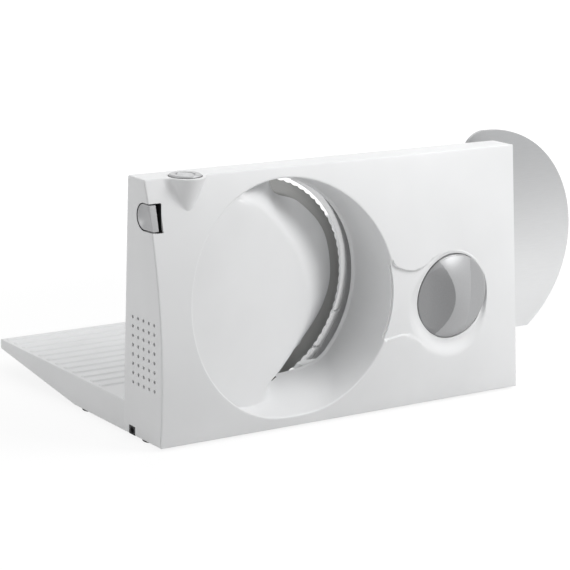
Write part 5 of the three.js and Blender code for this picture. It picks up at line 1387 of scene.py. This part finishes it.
# %% Guard and rear foot posts
GUARD_INNER, GUARD_OUTER, GUARD_FROM, GUARD_TO, GUARD_PROUD = 93.0, 96.0, 72.0, 232.0, 15.5
GUARD_CORNERS = [0.2, 0.2, 1.2, 1.2]
FOOT_X, FOOT_FRONT_Y, FOOT_REAR_Y = LENGTH / 2 - 11, 27.0, 118.0
POST_RADIUS, POST_EDGE, POST_TOP = 8, 0.8, DECK - 2
guard_ring = rounded([
    (GUARD_INNER, -WALL), (GUARD_OUTER, -WALL), (GUARD_OUTER, GUARD_PROUD), (GUARD_INNER, GUARD_PROUD)],
    GUARD_CORNERS, 5)
guard_r, guard_v = guard_ring.T
sweep = np.radians(np.linspace(GUARD_FROM, GUARD_TO, 120))[:, None]
guard = skin(lean(BLADE_U + guard_r * np.cos(sweep), guard_v + 0 * sweep, BLADE_W + guard_r * np.sin(sweep)),
             caps=(True, True))
post = [
    (0, 0), (POST_RADIUS - POST_EDGE, 0), (POST_RADIUS, POST_EDGE), (POST_RADIUS, POST_TOP), (0, POST_TOP)]
posts = [turned(post, upright(x, FOOT_REAR_Y), 64) for x in (-FOOT_X, FOOT_X)]
set_in(shape("blade_guard", guard), white_plastic, "housing", "housing_white", "rear_housing")
set_in(shape("foot_posts", *posts), white_plastic, "housing", "housing_white", "rear_housing")

# %% [markdown]
# ## Blade and its lock
#
# The blade is a thin disc of 170 mm with 76 small waves in its edge. Its profile runs round the disc, and
# the rim radius waves with the angle: 76 cuts would take long, and a term in the radius costs nothing. Its
# front face, deep in the dish, takes a darker copy of the steel as painted shade; the side that faces the
# food is ground bright. A cap with a grip bar locks it on its spindle.

# %% Blade
BLADE_RADIUS, BLADE_THICK, WAVES, WAVE_DEPTH = 85.0, 1.5, 76, 0.9
BLADE_BORE, HOLLOW_GRIND, FACES_FRONT = 5.4, 0.25, -0.5
theta = np.linspace(0, 2 * math.pi, WAVES * 8, endpoint=False)
wave = BLADE_RADIUS - WAVE_DEPTH * np.abs(np.sin(WAVES / 2 * theta))
front = BLADE_V - BLADE_THICK
# A radius of None stands for the waving rim.
blade_rows = [
    (BLADE_BORE, front), (40, front), (76, front), (82, front), (None, front + 0.12), (None, front + 0.3),
    (79, front + 1.1), (77.5, BLADE_V - 0.03), (76.5, BLADE_V), (62, BLADE_V), (61.3, BLADE_V - HOLLOW_GRIND),
    (34, BLADE_V - HOLLOW_GRIND), (33.3, BLADE_V), (BLADE_BORE, BLADE_V), (BLADE_BORE, front)]
blade_r = np.stack([wave if r is None else np.full_like(theta, r) for r, _ in blade_rows])
blade_v = np.array([v for _, v in blade_rows])[:, None] + 0 * theta
blade_skin = skin(lean(BLADE_U + blade_r * np.cos(theta), blade_v, BLADE_W + blade_r * np.sin(theta)))
blade = shape("cutting_blade", blade_skin, sharp=20)
set_in(blade, [blade_steel, blade_front_painted_shade], "blade", "blade_steel", "blade")
# The front faces take the darker steel: painted shade.
second_finish(blade, of_faces(blade, "normal") @ blade_axis < FACES_FRONT)

# %% Blade lock
LOCK_BORE, LOCK_RADIUS, LOCK_THICK, LOCK_SUNK, LOCK_GAP = 5.3, 17.9, 2.5, 0.6, 0.3
GRIP_HALF_LENGTH, GRIP_HALF_WIDTH, GRIP_ROUND, PIP_AT = 14, 2, 1.8, 12.5
GRIP_LOW, GRIP_HIGH, GRIP_EDGE = 1.2, 6.5, 0.8
about_blade = on_plane(BLADE_U, BLADE_W)
lock_v = BLADE_V + LOCK_GAP
lock_top = lock_v + LOCK_THICK
lock_rim = eased([
    (LOCK_BORE, lock_v), (LOCK_RADIUS, lock_v), (LOCK_RADIUS, lock_v + 1.0), (16.6, lock_top),
    (LOCK_BORE, lock_top)], [0.2, 0.4, 0.8])
sunk_v = lock_v + LOCK_SUNK
lock_profile = np.concatenate([[(0, sunk_v), (LOCK_BORE, sunk_v)], lock_rim, [(0, lock_top)]])
disc = turned(lock_profile, about_blade, 96)
grip_outline = rounded([
    (-GRIP_HALF_LENGTH, -GRIP_HALF_WIDTH), (GRIP_HALF_LENGTH, -GRIP_HALF_WIDTH),
    (GRIP_HALF_LENGTH, GRIP_HALF_WIDTH), (-GRIP_HALF_LENGTH, GRIP_HALF_WIDTH)], GRIP_ROUND)
grip = plate(grip_outline, lock_v + GRIP_LOW, lock_v + GRIP_HIGH, GRIP_EDGE, about_blade)
pip = [(0, lock_v + 2.2), (1.1, lock_v + 2.2), (0.9, lock_v + 3.0), (0, lock_v + 3.1)]
pips = [turned(pip, on_plane(BLADE_U + PIP_AT * math.cos(a), BLADE_W + PIP_AT * math.sin(a)), 20)
        for a in (math.pi / 2, -math.pi / 2)]
set_in(shape("blade_lock_cap", disc, grip, *pips), grey_plastic, "blade_lock", "grey_plastic", "blade_lock")

# %% [markdown]
# ## Stop plate
#
# The stop plate is a sheet whose left edge follows the blade and whose right end is a large round. Its
# outline is built from circle arcs. Beside the blade it is ground to a bevel with two small notches, so the
# front outline lies further from the blade than the back one, and the rings between them blend the two. The
# bevel's lighter colour is partly its grinding and partly painted light, and the sheet's colour darkens
# towards its top as painted reflection. A bevel modifier would treat all edges alike.

# %% Outline of the stop plate
PLATE_THICK, PLATE_GAP = 2.5, 2.0
END_U, END_W, END_RADIUS = 175.0, 102.0, 96.0
PLATE_BOTTOM, PLATE_SHOULDER, HEEL_U, HEEL_ROUND, HEEL_STEPS = 26.0, 186.0, -15.0, 4.0, 7
CORNER_U, CORNER_RADIUS, HEEL_FEET = 150.0, 20.0, (162.0, 160.0)
NOTCH_TURNS, NOTCH_HALF, NOTCH_SOFT = (-20.9, -41.6), 0.6, 0.25


def arc(u0, w0, radius, first, last, count):
    """Circle arc between two angles."""
    a = np.linspace(first, last, count)
    return np.column_stack([u0 + radius * np.cos(a), w0 + radius * np.sin(a)])


def plate_outline(radius, notch):
    """Blade side at a radius with two small notches, then the round end, its corner and the heel."""
    first, last = math.acos((HEEL_U - BLADE_U) / radius), math.asin((PLATE_BOTTOM - BLADE_W) / radius)
    a = np.linspace(first, last, 420)
    away = np.abs(np.degrees(a)[:, None] - np.array(NOTCH_TURNS)).min(1)
    r = radius + notch * smooth_step((NOTCH_HALF - away) / NOTCH_SOFT)
    blade_side = np.column_stack([BLADE_U + r * np.cos(a), BLADE_W + r * np.sin(a)])
    foot_turn = math.asin((PLATE_BOTTOM - END_W) / END_RADIUS)
    round_end = arc(END_U, END_W, END_RADIUS, foot_turn, math.pi / 2, 140)
    corner_w = END_W + END_RADIUS - CORNER_RADIUS
    corner = arc(CORNER_U + CORNER_RADIUS, corner_w, CORNER_RADIUS, math.pi / 2, math.pi, 24)
    # Of the heel's four corners only the two at shoulder height are used.
    right_foot, left_foot = HEEL_FEET
    heel = [
        (CORNER_U, right_foot), (CORNER_U, PLATE_SHOULDER), (HEEL_U, PLATE_SHOULDER), (HEEL_U, left_foot)]
    heel_bends = rounded(heel, HEEL_ROUND, HEEL_STEPS)[HEEL_STEPS:3 * HEEL_STEPS]
    return np.concatenate([blade_side, round_end, corner, heel_bends])


clear = BLADE_RADIUS + PLATE_GAP
print("the plate keeps", PLATE_GAP, "mm from the blade")

# %% Stop plate
BEVEL_WIDE, BEVEL_DEEP, NOTCH_IN = 4.2, 2.2, 3.2
BEVEL_TILTS = (-0.97, -0.3)
PLATE_ROWS = [(0, 0.6), (0.12, 0.18), (0.5, 0), (1.2, 0), (2.1, 0), (2.4, 0.15), (2.5, 0.5)]
plate_front = BLADE_V - PLATE_THICK
front_outline, back_outline = plate_outline(clear + BEVEL_WIDE, 0), plate_outline(clear, NOTCH_IN)


def plate_ring(depth, inset):
    """The outline at a depth: a blend of front and back outline, drawn in at the rounded edges."""
    outline = front_outline + (back_outline - front_outline) * min(depth / BEVEL_DEEP, 1)
    u, w = drawn_in(outline, inset).T
    return lean(u, plate_front + depth, w)


plate_rings = np.stack([plate_ring(depth, inset) for depth, inset in PLATE_ROWS])
stop_plate = shape("stop_sheet", skin(plate_rings, caps=(True, True)), sharp=24)
set_in(stop_plate, [plate_metal, ground_bevel_painted_light], "stop_plate", "stop_plate_metal", "stop_plate")
# The bevel faces near the blade take the lighter finish: partly grinding, partly painted light.
tilt = of_faces(stop_plate, "normal") @ blade_axis
on_plate = face_places(stop_plate)
close = np.hypot(on_plate[:, 0] - BLADE_U, on_plate[:, 2] - BLADE_W) < clear + BEVEL_WIDE
second_finish(stop_plate, close & (tilt > BEVEL_TILTS[0]) & (tilt < BEVEL_TILTS[1]))

# %% [markdown]
# ## Thickness knob
#
# The knob is a low dome cut by a thumb scoop on the left and a step on the right, which leave an upright
# ridge. Its height over the rim is the lesser of dome and scoop, joined with a smooth minimum so that the
# crest stays slightly rounded, and then the step takes the right part down. Cutting it with Booleans would
# leave razor edges. The scoop's darker silver is painted shade.

# %% Form of the knob
KNOB_BACK, KNOB_HEIGHT, KNOB_RIM = CUP_FLOOR_V - 0.3, 12.6, 2.4
SCOOP_EDGE, SCOOP_BEND, SCOOP_REACH, SCOOP_LIFT = -4.4, 0.0125, 20.0, 0.2
STEP_AT, STEP_BEND, STEP_RUN, STEP_FLOOR = 11.0, 0.0033, 1.4, 3.0
CREST_BLEND = 0.2


def knob_dome(r):
    """Rim height plus a parabola: rim + (height - rim) (1 - r^2 / R^2)."""
    return KNOB_RIM + (KNOB_HEIGHT - KNOB_RIM) * (1 - (r / KNOB_RADIUS) ** 2)


def scoop_edge(b):
    """The scoop's crest line, bent to the left away from the middle: edge - bend b^2."""
    return SCOOP_EDGE - SCOOP_BEND * b ** 2


def knob_rise(a, b):
    """Lesser of dome and scoop, which falls as (1 + t / reach)^2 left of its crest; then the step."""
    dome = knob_dome(np.hypot(a, b))
    edge = scoop_edge(b)
    fall = np.clip(1 + (a - edge) / SCOOP_REACH, 0, None) ** 2
    crest = knob_dome(np.minimum(np.hypot(edge, b), KNOB_RADIUS))
    scoop = KNOB_RIM + SCOOP_LIFT + (crest - KNOB_RIM - SCOOP_LIFT) * fall
    low = np.where(a < edge, smooth_min(dome, scoop, CREST_BLEND), dome)
    step = smooth_step((a - STEP_AT - STEP_BEND * b ** 2) / STEP_RUN)
    return low + (np.minimum(low, STEP_FLOOR) - low) * step


print("ridge", round(float(knob_rise(0.0, 0.0)), 1), "mm over the knob's back")

# %% Thickness knob
KNOB_EDGE, KNOB_TIP, HUB_RADIUS, HUB_BORE, BORE_SHORT = 0.7, 0.02, 8.0, 6.7, 0.1
theta = np.linspace(0, 2 * math.pi, 400, endpoint=False)


def knob_ring(r, v):
    """Rings about the knob's axis at radii and depths."""
    return lean(KNOB_U + r * np.cos(theta), v + 0 * theta, KNOB_W + r * np.sin(theta))


top_r = np.linspace(KNOB_TIP, KNOB_RADIUS - KNOB_EDGE, 100)[:, None]
rise = knob_rise(top_r * np.cos(theta), top_r * np.sin(theta))
quarter = np.linspace(0, math.pi / 2, 6)[1:, None]
edge_r = KNOB_RADIUS - KNOB_EDGE + KNOB_EDGE * np.sin(quarter)
edge_v = KNOB_BACK - rise[-1] + KNOB_EDGE * (1 - np.cos(quarter))
bore_v = KNOB_BACK - KNOB_RIM + BORE_SHORT
under = np.array([
    (KNOB_RADIUS, KNOB_BACK), (HUB_RADIUS, KNOB_BACK), (HUB_BORE, KNOB_BACK), (HUB_BORE, bore_v),
    (KNOB_TIP, bore_v)])
knob_rings = np.concatenate([
    knob_ring(top_r, KNOB_BACK - rise), knob_ring(edge_r, edge_v), knob_ring(under[:, :1], under[:, 1:])])
knob = shape("slice_knob", skin(knob_rings, caps=(True, True)), sharp=45)
set_in(knob, [silver_coat, scoop_painted_shade], "knob", "silver_trim", "thickness_knob")
on_knob = face_places(knob) - [KNOB_U, 0, KNOB_W]
# The scoop's faces take the darker silver, which is painted shade.
second_finish(knob, on_knob[:, 0] < scoop_edge(on_knob[:, 2]))

# %% [markdown]
# ## Carriage and food holder
#
# The carriage is a thin tray with one tall wall, and the holder hangs on that wall. Both are plates with
# rounded corners and edges. Low glide ribs on the tray and grip ribs on the wall are small plates of the
# same kind, and the holder's spikes are turned cones.

# %% Carriage
TRAY_LOW, TRAY_TOP, WALL_TOP = TABLE_TOP + 0.3, TABLE_TOP + 3.3, 120.3
TRAY_X0, TRAY_X1, TRAY_Y0, TRAY_Y1, TALL_WALL = 40.0, 160.0, 76.5, 239.5, 3
TRAY_EDGE, ROOT, TRAY_CORNERS, WALL_CORNERS = 0.9, 0.5, [5, 1, 1, 5], [1, 1, 7, 7]
GLIDE_HALF, GLIDE_INSET, GLIDE_PITCH, GLIDE_PROUD = 1.2, 8, 12, 0.6
GLIDE_FIRST, GLIDE_LAST, GLIDE_ROUND, GLIDE_EDGE = 10, 6, 1.1, 0.4
GRIP_HALF, GRIP_FOOT, GRIP_TOP, GRIP_PITCH, GRIP_PROUD = 1.5, 40, 86, 9, 0.8
GRIP_FIRST, GRIP_LAST, GRIP_CORNER, GRIP_RIM = 14, 10, 1.4, 0.5
KEEL_HALF, KEEL_INSET, KEEL_DOWN, KEEL_ROUND, KEEL_EDGE = 2.9, 0.2, 0.9, 0.8, 0.3


def box_outline(a0, a1, b0, b1, radius):
    """A rectangle with rounded corners, anticlockwise."""
    return rounded([(a0, b0), (a1, b0), (a1, b1), (a0, b1)], radius)


tray = plate(box_outline(TRAY_X0, TRAY_X1, TRAY_Y0, TRAY_Y1, TRAY_CORNERS),
             TRAY_LOW, TRAY_TOP, TRAY_EDGE, upright())
tall_wall = plate(box_outline(TRAY_Y0, TRAY_Y1, TRAY_LOW, WALL_TOP, WALL_CORNERS),
                  TRAY_X1 - TALL_WALL, TRAY_X1, TRAY_EDGE, endways())
glide_y0, glide_y1 = TRAY_Y0 + GLIDE_INSET, TRAY_Y1 - GLIDE_INSET
glides = [plate(box_outline(x - GLIDE_HALF, x + GLIDE_HALF, glide_y0, glide_y1, GLIDE_ROUND),
                TRAY_TOP - ROOT, TRAY_TOP + GLIDE_PROUD, GLIDE_EDGE, upright())
          for x in np.arange(TRAY_X0 + GLIDE_FIRST, TRAY_X1 - GLIDE_LAST, GLIDE_PITCH)]
grips = [plate(box_outline(y - GRIP_HALF, y + GRIP_HALF, GRIP_FOOT, GRIP_TOP, GRIP_CORNER),
               TRAY_X1 - ROOT, TRAY_X1 + GRIP_PROUD, GRIP_RIM, endways())
         for y in np.arange(TRAY_Y0 + GRIP_FIRST, TRAY_Y1 - GRIP_LAST, GRIP_PITCH)]
# The keels run in two of the grooves between the table's ribs.
keel_x0, keel_x1 = TRAY_X0 + KEEL_INSET, TRAY_X1 - KEEL_INSET
keels = [plate(box_outline(keel_x0, keel_x1, y - KEEL_HALF, y + KEEL_HALF, KEEL_ROUND),
               TABLE_TOP - KEEL_DOWN, TRAY_LOW + ROOT, KEEL_EDGE, upright())
         for y in (rib_y[1] - RIB_PITCH / 2, rib_y[RIB_COUNT - 4] - RIB_PITCH / 2)]
set_in(shape("sliding_tray", tray, tall_wall, *glides, *grips, *keels),
       white_plastic, "carriage", "housing_white", "carriage")

# %% Food holder
HOLDER_Y0, HOLDER_Y1, PUSH_X0, PUSH_Z0, PUSH_Z1, PUSH_THICK = 194.0, 234.0, 57.7, 31.3, 109.3, 4
PUSH_LAP, PUSH_EDGE, PUSH_CORNERS = 3, 1.0, [8, 4, 4, 8]
SADDLE_X0, SADDLE_X1, SADDLE_LOW, SADDLE_TOP, SADDLE_ROOM = 153.7, 163.3, 94.3, 123.6, 0.3
SADDLE_EDGE, HOOK_CORNERS = 0.7, [0.8, 0.2, 0.2, 0.8, 0.8, 2.6, 2.6, 0.8]
SPIKE_LENGTH, SPIKE_COLUMNS, SPIKE_ROWS = 5, 4, 3
BRACE_COUNT, BRACE_HALF, BRACE_INSET, BRACE_FROM, BRACE_TO = 4, 1.2, 14, 3.5, 6.5
BRACE_START, BRACE_LAP, BRACE_ROUND, BRACE_EDGE = 6, 1, 1.0, 0.6
# This outline runs clockwise, so the push plate flares a little towards both of its faces.
pusher = plate(box_outline(PUSH_X0, SADDLE_X0 + PUSH_LAP, PUSH_Z0, PUSH_Z1, PUSH_CORNERS)[::-1],
               -HOLDER_Y0 - PUSH_THICK, -HOLDER_Y0, PUSH_EDGE, lambda a, b, d: points(a, -d, b))
inner_x0, inner_x1 = TRAY_X1 - TALL_WALL - SADDLE_ROOM, TRAY_X1 + SADDLE_ROOM
inner_top = WALL_TOP + SADDLE_ROOM
hook = rounded([
    (inner_x0, SADDLE_LOW), (inner_x0, inner_top), (inner_x1, inner_top), (inner_x1, SADDLE_LOW),
    (SADDLE_X1, SADDLE_LOW), (SADDLE_X1, SADDLE_TOP), (SADDLE_X0, SADDLE_TOP), (SADDLE_X0, SADDLE_LOW)],
    HOOK_CORNERS)
saddle = plate(hook, HOLDER_Y0, HOLDER_Y1, SADDLE_EDGE, frontways())
brace_x0, brace_x1 = PUSH_X0 + BRACE_START, SADDLE_X0 + BRACE_LAP
braces = [plate(box_outline(brace_x0, brace_x1, z - BRACE_HALF, z + BRACE_HALF, BRACE_ROUND),
                HOLDER_Y0 + BRACE_FROM, HOLDER_Y0 + BRACE_TO, BRACE_EDGE, frontways())
          for z in np.linspace(PUSH_Z0 + BRACE_INSET, PUSH_Z1 - BRACE_INSET, BRACE_COUNT)]
spike = [(0, HOLDER_Y0 + 1), (2.1, HOLDER_Y0 + 1), (2.0, HOLDER_Y0), (0.25, HOLDER_Y0 - SPIKE_LENGTH + 0.1),
         (0, HOLDER_Y0 - SPIKE_LENGTH)]
spike_x = SADDLE_X0 - (SADDLE_X0 - PUSH_X0) * (np.arange(SPIKE_COLUMNS) + 0.5) / SPIKE_COLUMNS
spike_z = PUSH_Z0 + (PUSH_Z1 - PUSH_Z0) * (np.arange(SPIKE_ROWS) + 0.5) / SPIKE_ROWS
spikes = [turned(spike, frontways(x, z), 24) for x in spike_x for z in spike_z]
set_in(shape("food_pusher", pusher, saddle, *braces, *spikes),
       white_plastic, "food_holder", "housing_white", "food_holder")

# %% [markdown]
# ## Feet, springs and what stays from the frame
#
# The feet are turned rubber pads. The two button springs are wires wound on a helix with closed end
# turns. The drive inside keeps its solids and only gets finishes, named by the record's slots.

# %% Feet
PAD_FOOT, PAD_TOP, PAD_RADIUS, PLUG_RADIUS, PLUG_TOP = -2, -0.3, 7, 2.2, 3.4
pad = eased([
    (0, PAD_FOOT), (6.2, PAD_FOOT), (PAD_RADIUS, -1.2), (PAD_RADIUS, PAD_TOP), (PLUG_RADIUS, PAD_TOP),
    (PLUG_RADIUS, PLUG_TOP), (0, PLUG_TOP)], [0.5, 0.4, 0.3, 0.2, 0.3])
foot_spots = [(x, y) for y in (FOOT_FRONT_Y, FOOT_REAR_Y) for x in (-FOOT_X, FOOT_X)]
for k, spot in enumerate(foot_spots, 1):
    foot = shape(f"rubber_foot_{k}", turned(pad, upright(*spot), 64))
    set_in(foot, rubber, "housing", "soft_rubber", f"foot_{k}")

# %% Springs
WIRE, COIL_RADIUS, COIL_TURNS = 0.45, 5.5, 4.0
COIL_FROM, COIL_SHARE, COIL_ROWS, WIRE_SIDES = 0.06, 0.88, 260, 12


def coil(place, low, high):
    """A wire round a helix: the pitch eases to nothing at both ends, so the end turns lie closed."""
    t = np.linspace(0, 1, COIL_ROWS)
    a = 2 * math.pi * COIL_TURNS * t
    rise = low + WIRE + (high - low - 2 * WIRE) * smooth_step((t - COIL_FROM) / COIL_SHARE)
    ring_turn = np.linspace(0, 2 * math.pi, WIRE_SIDES, endpoint=False)
    r = COIL_RADIUS + WIRE * np.cos(ring_turn)
    depth = rise[:, None] + WIRE * np.sin(ring_turn)
    return skin(place(r * np.cos(a)[:, None], r * np.sin(a)[:, None], depth), caps=(True, True))


def drawn_limits(node):
    """A node's lowest and highest corner in the drawing frame."""
    return [np.array(corner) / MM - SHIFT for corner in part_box(node)]


low, high = drawn_limits("on_off_spring")
top_spring = shape("button_spring", coil(about_button, low[2], high[2]))
set_in(top_spring, drive_steel, "housing", "drive_steel", "on_off_spring")
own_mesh(top_spring)
low, high = drawn_limits("safety_spring")
side_spring = shape("catch_spring", coil(about_stem, low[0], high[0]))
set_in(side_spring, drive_steel, "housing", "drive_steel", "safety_spring")
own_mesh(side_spring)

# %% Finishes for the solids that stay
FINISH_OF = {
    "housing_white": white_plastic, "stop_plate_metal": plate_metal, "blade_steel": blade_steel,
    "drive_steel": drive_steel, "silver_trim": silver_coat, "gear_nylon": nylon,
    "grey_plastic": grey_plastic, "motor_iron": motor_iron, "winding_copper": copper_wire,
    "bearing_bronze": bronze, "black_plastic": black_plastic, "soft_rubber": rubber}
kept = 0
for part in frame["record"]["subparts"]:
    solid = frame["nodes"][part["node"]]
    if not solid.hide_render:
        solid.data.materials.clear()
        solid.data.materials.append(FINISH_OF[part["material_slot"]])
        kept += 1
print(kept, "solids keep their shape")

# %% [markdown]
# ## Light and floor
#
# White things need soft light from several sides, or their forms flatten out: a key lamp at the right front
# models the face, a wide one overhead lights the tops, a weak one fills the left end, and one at the rear
# lights the table from behind. The world adds an even glow. Camera and reflections see plain white in it, so
# the white ground never depends on more light on the slicer.

# %% World
WORLD_GLOW = 0.34
scene = bpy.context.scene
scene.view_settings.view_transform = "Standard"


def studio_white(tree):
    """1 for camera, glossy and transmission rays, 0 for the others: the greatest of the three."""
    path = tree.nodes.new("ShaderNodeLightPath")
    most, either = (tree.nodes.new("ShaderNodeMath") for _ in range(2))
    most.operation = either.operation = "MAXIMUM"
    tree.links.new(path.outputs["Is Camera Ray"], most.inputs[0])
    tree.links.new(path.outputs["Is Glossy Ray"], most.inputs[1])
    tree.links.new(most.outputs[0], either.inputs[0])
    tree.links.new(path.outputs["Is Transmission Ray"], either.inputs[1])
    return either.outputs[0]


def mixed(tree, share, first, second):
    """A mix of two shaders by a share."""
    mix = tree.nodes.new("ShaderNodeMixShader")
    tree.links.new(share, mix.inputs["Fac"])
    tree.links.new(first.outputs[0], mix.inputs[1])
    tree.links.new(second.outputs[0], mix.inputs[2])
    return mix


world = bpy.data.worlds.new("studio")
scene.world = world
world.use_nodes = True
sky = world.node_tree
sky.nodes.clear()
lit, seen = (sky.nodes.new("ShaderNodeBackground") for _ in range(2))
lit.inputs["Color"].default_value = seen.inputs["Color"].default_value = (1, 1, 1, 1)
lit.inputs["Strength"].default_value, seen.inputs["Strength"].default_value = WORLD_GLOW, 1.0
result = sky.nodes.new("ShaderNodeOutputWorld")
sky.links.new(mixed(sky, studio_white(sky), lit, seen).outputs[0], result.inputs["Surface"])
print("world glows at", WORLD_GLOW)


# %% Lamps
def soft_box(name, place, aim, size, power):
    """A square lamp that faces a point."""
    lamp = bpy.data.lights.new(name, "AREA")
    lamp.shape, lamp.size, lamp.energy = "SQUARE", size, power
    made = bpy.data.objects.new(name, lamp)
    towards = np.array(aim) - np.array(place)
    towards /= np.linalg.norm(towards)
    side = np.cross(towards, [0, 0, 1])
    side /= np.linalg.norm(side)
    turn = np.eye(4)
    turn[:3, 0], turn[:3, 1], turn[:3, 2], turn[:3, 3] = side, np.cross(side, towards), -towards, place
    made.matrix_world = Matrix(turn.tolist())
    scene.collection.objects.link(made)


soft_box("key", (0.45, -0.6, 0.75), (0, -0.1, 0.1), 0.5, 5.6)
soft_box("top", (0.1, -0.3, 1.7), (0, 0, 0.1), 1.2, 5)
soft_box("fill", (-1.2, 0.1, 0.6), (-0.2, 0, 0.1), 0.8, 3)
soft_box("rear", (0.3, 0.95, 1.1), (0, 0, 0.1), 0.8, 2.5)
print(len(bpy.data.lights), "lamps")

# %% [markdown]
# The floor is a plain pale sheet that keeps the slicer's shadow near it and fades to white further out. It
# is clear from below, so that a look at the underside isn't blocked.

# %% Floor
FLOOR, FLOOR_TONE, FLOOR_ROUGH, FLOOR_GLOW = 6.0, 0.7, 0.9, 1.1
FADE_FROM, FADE_TO, GLOW_NEAR, GLOW_FAR = 0.3, 0.75, 0.78, 1.0
floor_mesh = bpy.data.meshes.new("floor")
floor_corners = [(-FLOOR, -FLOOR, 0), (FLOOR, -FLOOR, 0), (FLOOR, FLOOR, 0), (-FLOOR, FLOOR, 0)]
floor_mesh.from_pydata(floor_corners, [], [(0, 1, 2, 3)])
floor = bpy.data.objects.new("floor", floor_mesh)
scene.collection.objects.link(floor)
pale, tree, pale_shader, place = finish_tree("pale_floor")
pale_shader.inputs["Base Color"].default_value = (FLOOR_TONE, FLOOR_TONE, FLOOR_TONE, 1)
pale_shader.inputs["Roughness"].default_value = FLOOR_ROUGH
glow = tree.nodes.new("ShaderNodeEmission")
glow.inputs["Strength"].default_value = FLOOR_GLOW
away = tree.nodes.new("ShaderNodeVectorMath")
away.operation = "LENGTH"
tree.links.new(place, away.inputs[0])
fade = tree.nodes.new("ShaderNodeMapRange")
fade.interpolation_type = "SMOOTHSTEP"
set_range(fade, from_min=FADE_FROM, from_max=FADE_TO, to_min=GLOW_NEAR, to_max=GLOW_FAR)
tree.links.new(away.outputs["Value"], fade.inputs["Value"])
amount = tree.nodes.new("ShaderNodeMath")
amount.operation = "MULTIPLY"
tree.links.new(fade.outputs["Result"], amount.inputs[0])
tree.links.new(studio_white(tree), amount.inputs[1])
below = tree.nodes.new("ShaderNodeNewGeometry")
clear_floor = tree.nodes.new("ShaderNodeBsdfTransparent")
from_above = mixed(tree, amount.outputs[0], pale_shader, glow)
one_sided = mixed(tree, below.outputs["Backfacing"], from_above, clear_floor)
tree.links.new(one_sided.outputs[0], tree.nodes["Material Output"].inputs["Surface"])
floor_mesh.materials.append(pale)
print("floor", 2 * FLOOR, "m wide")
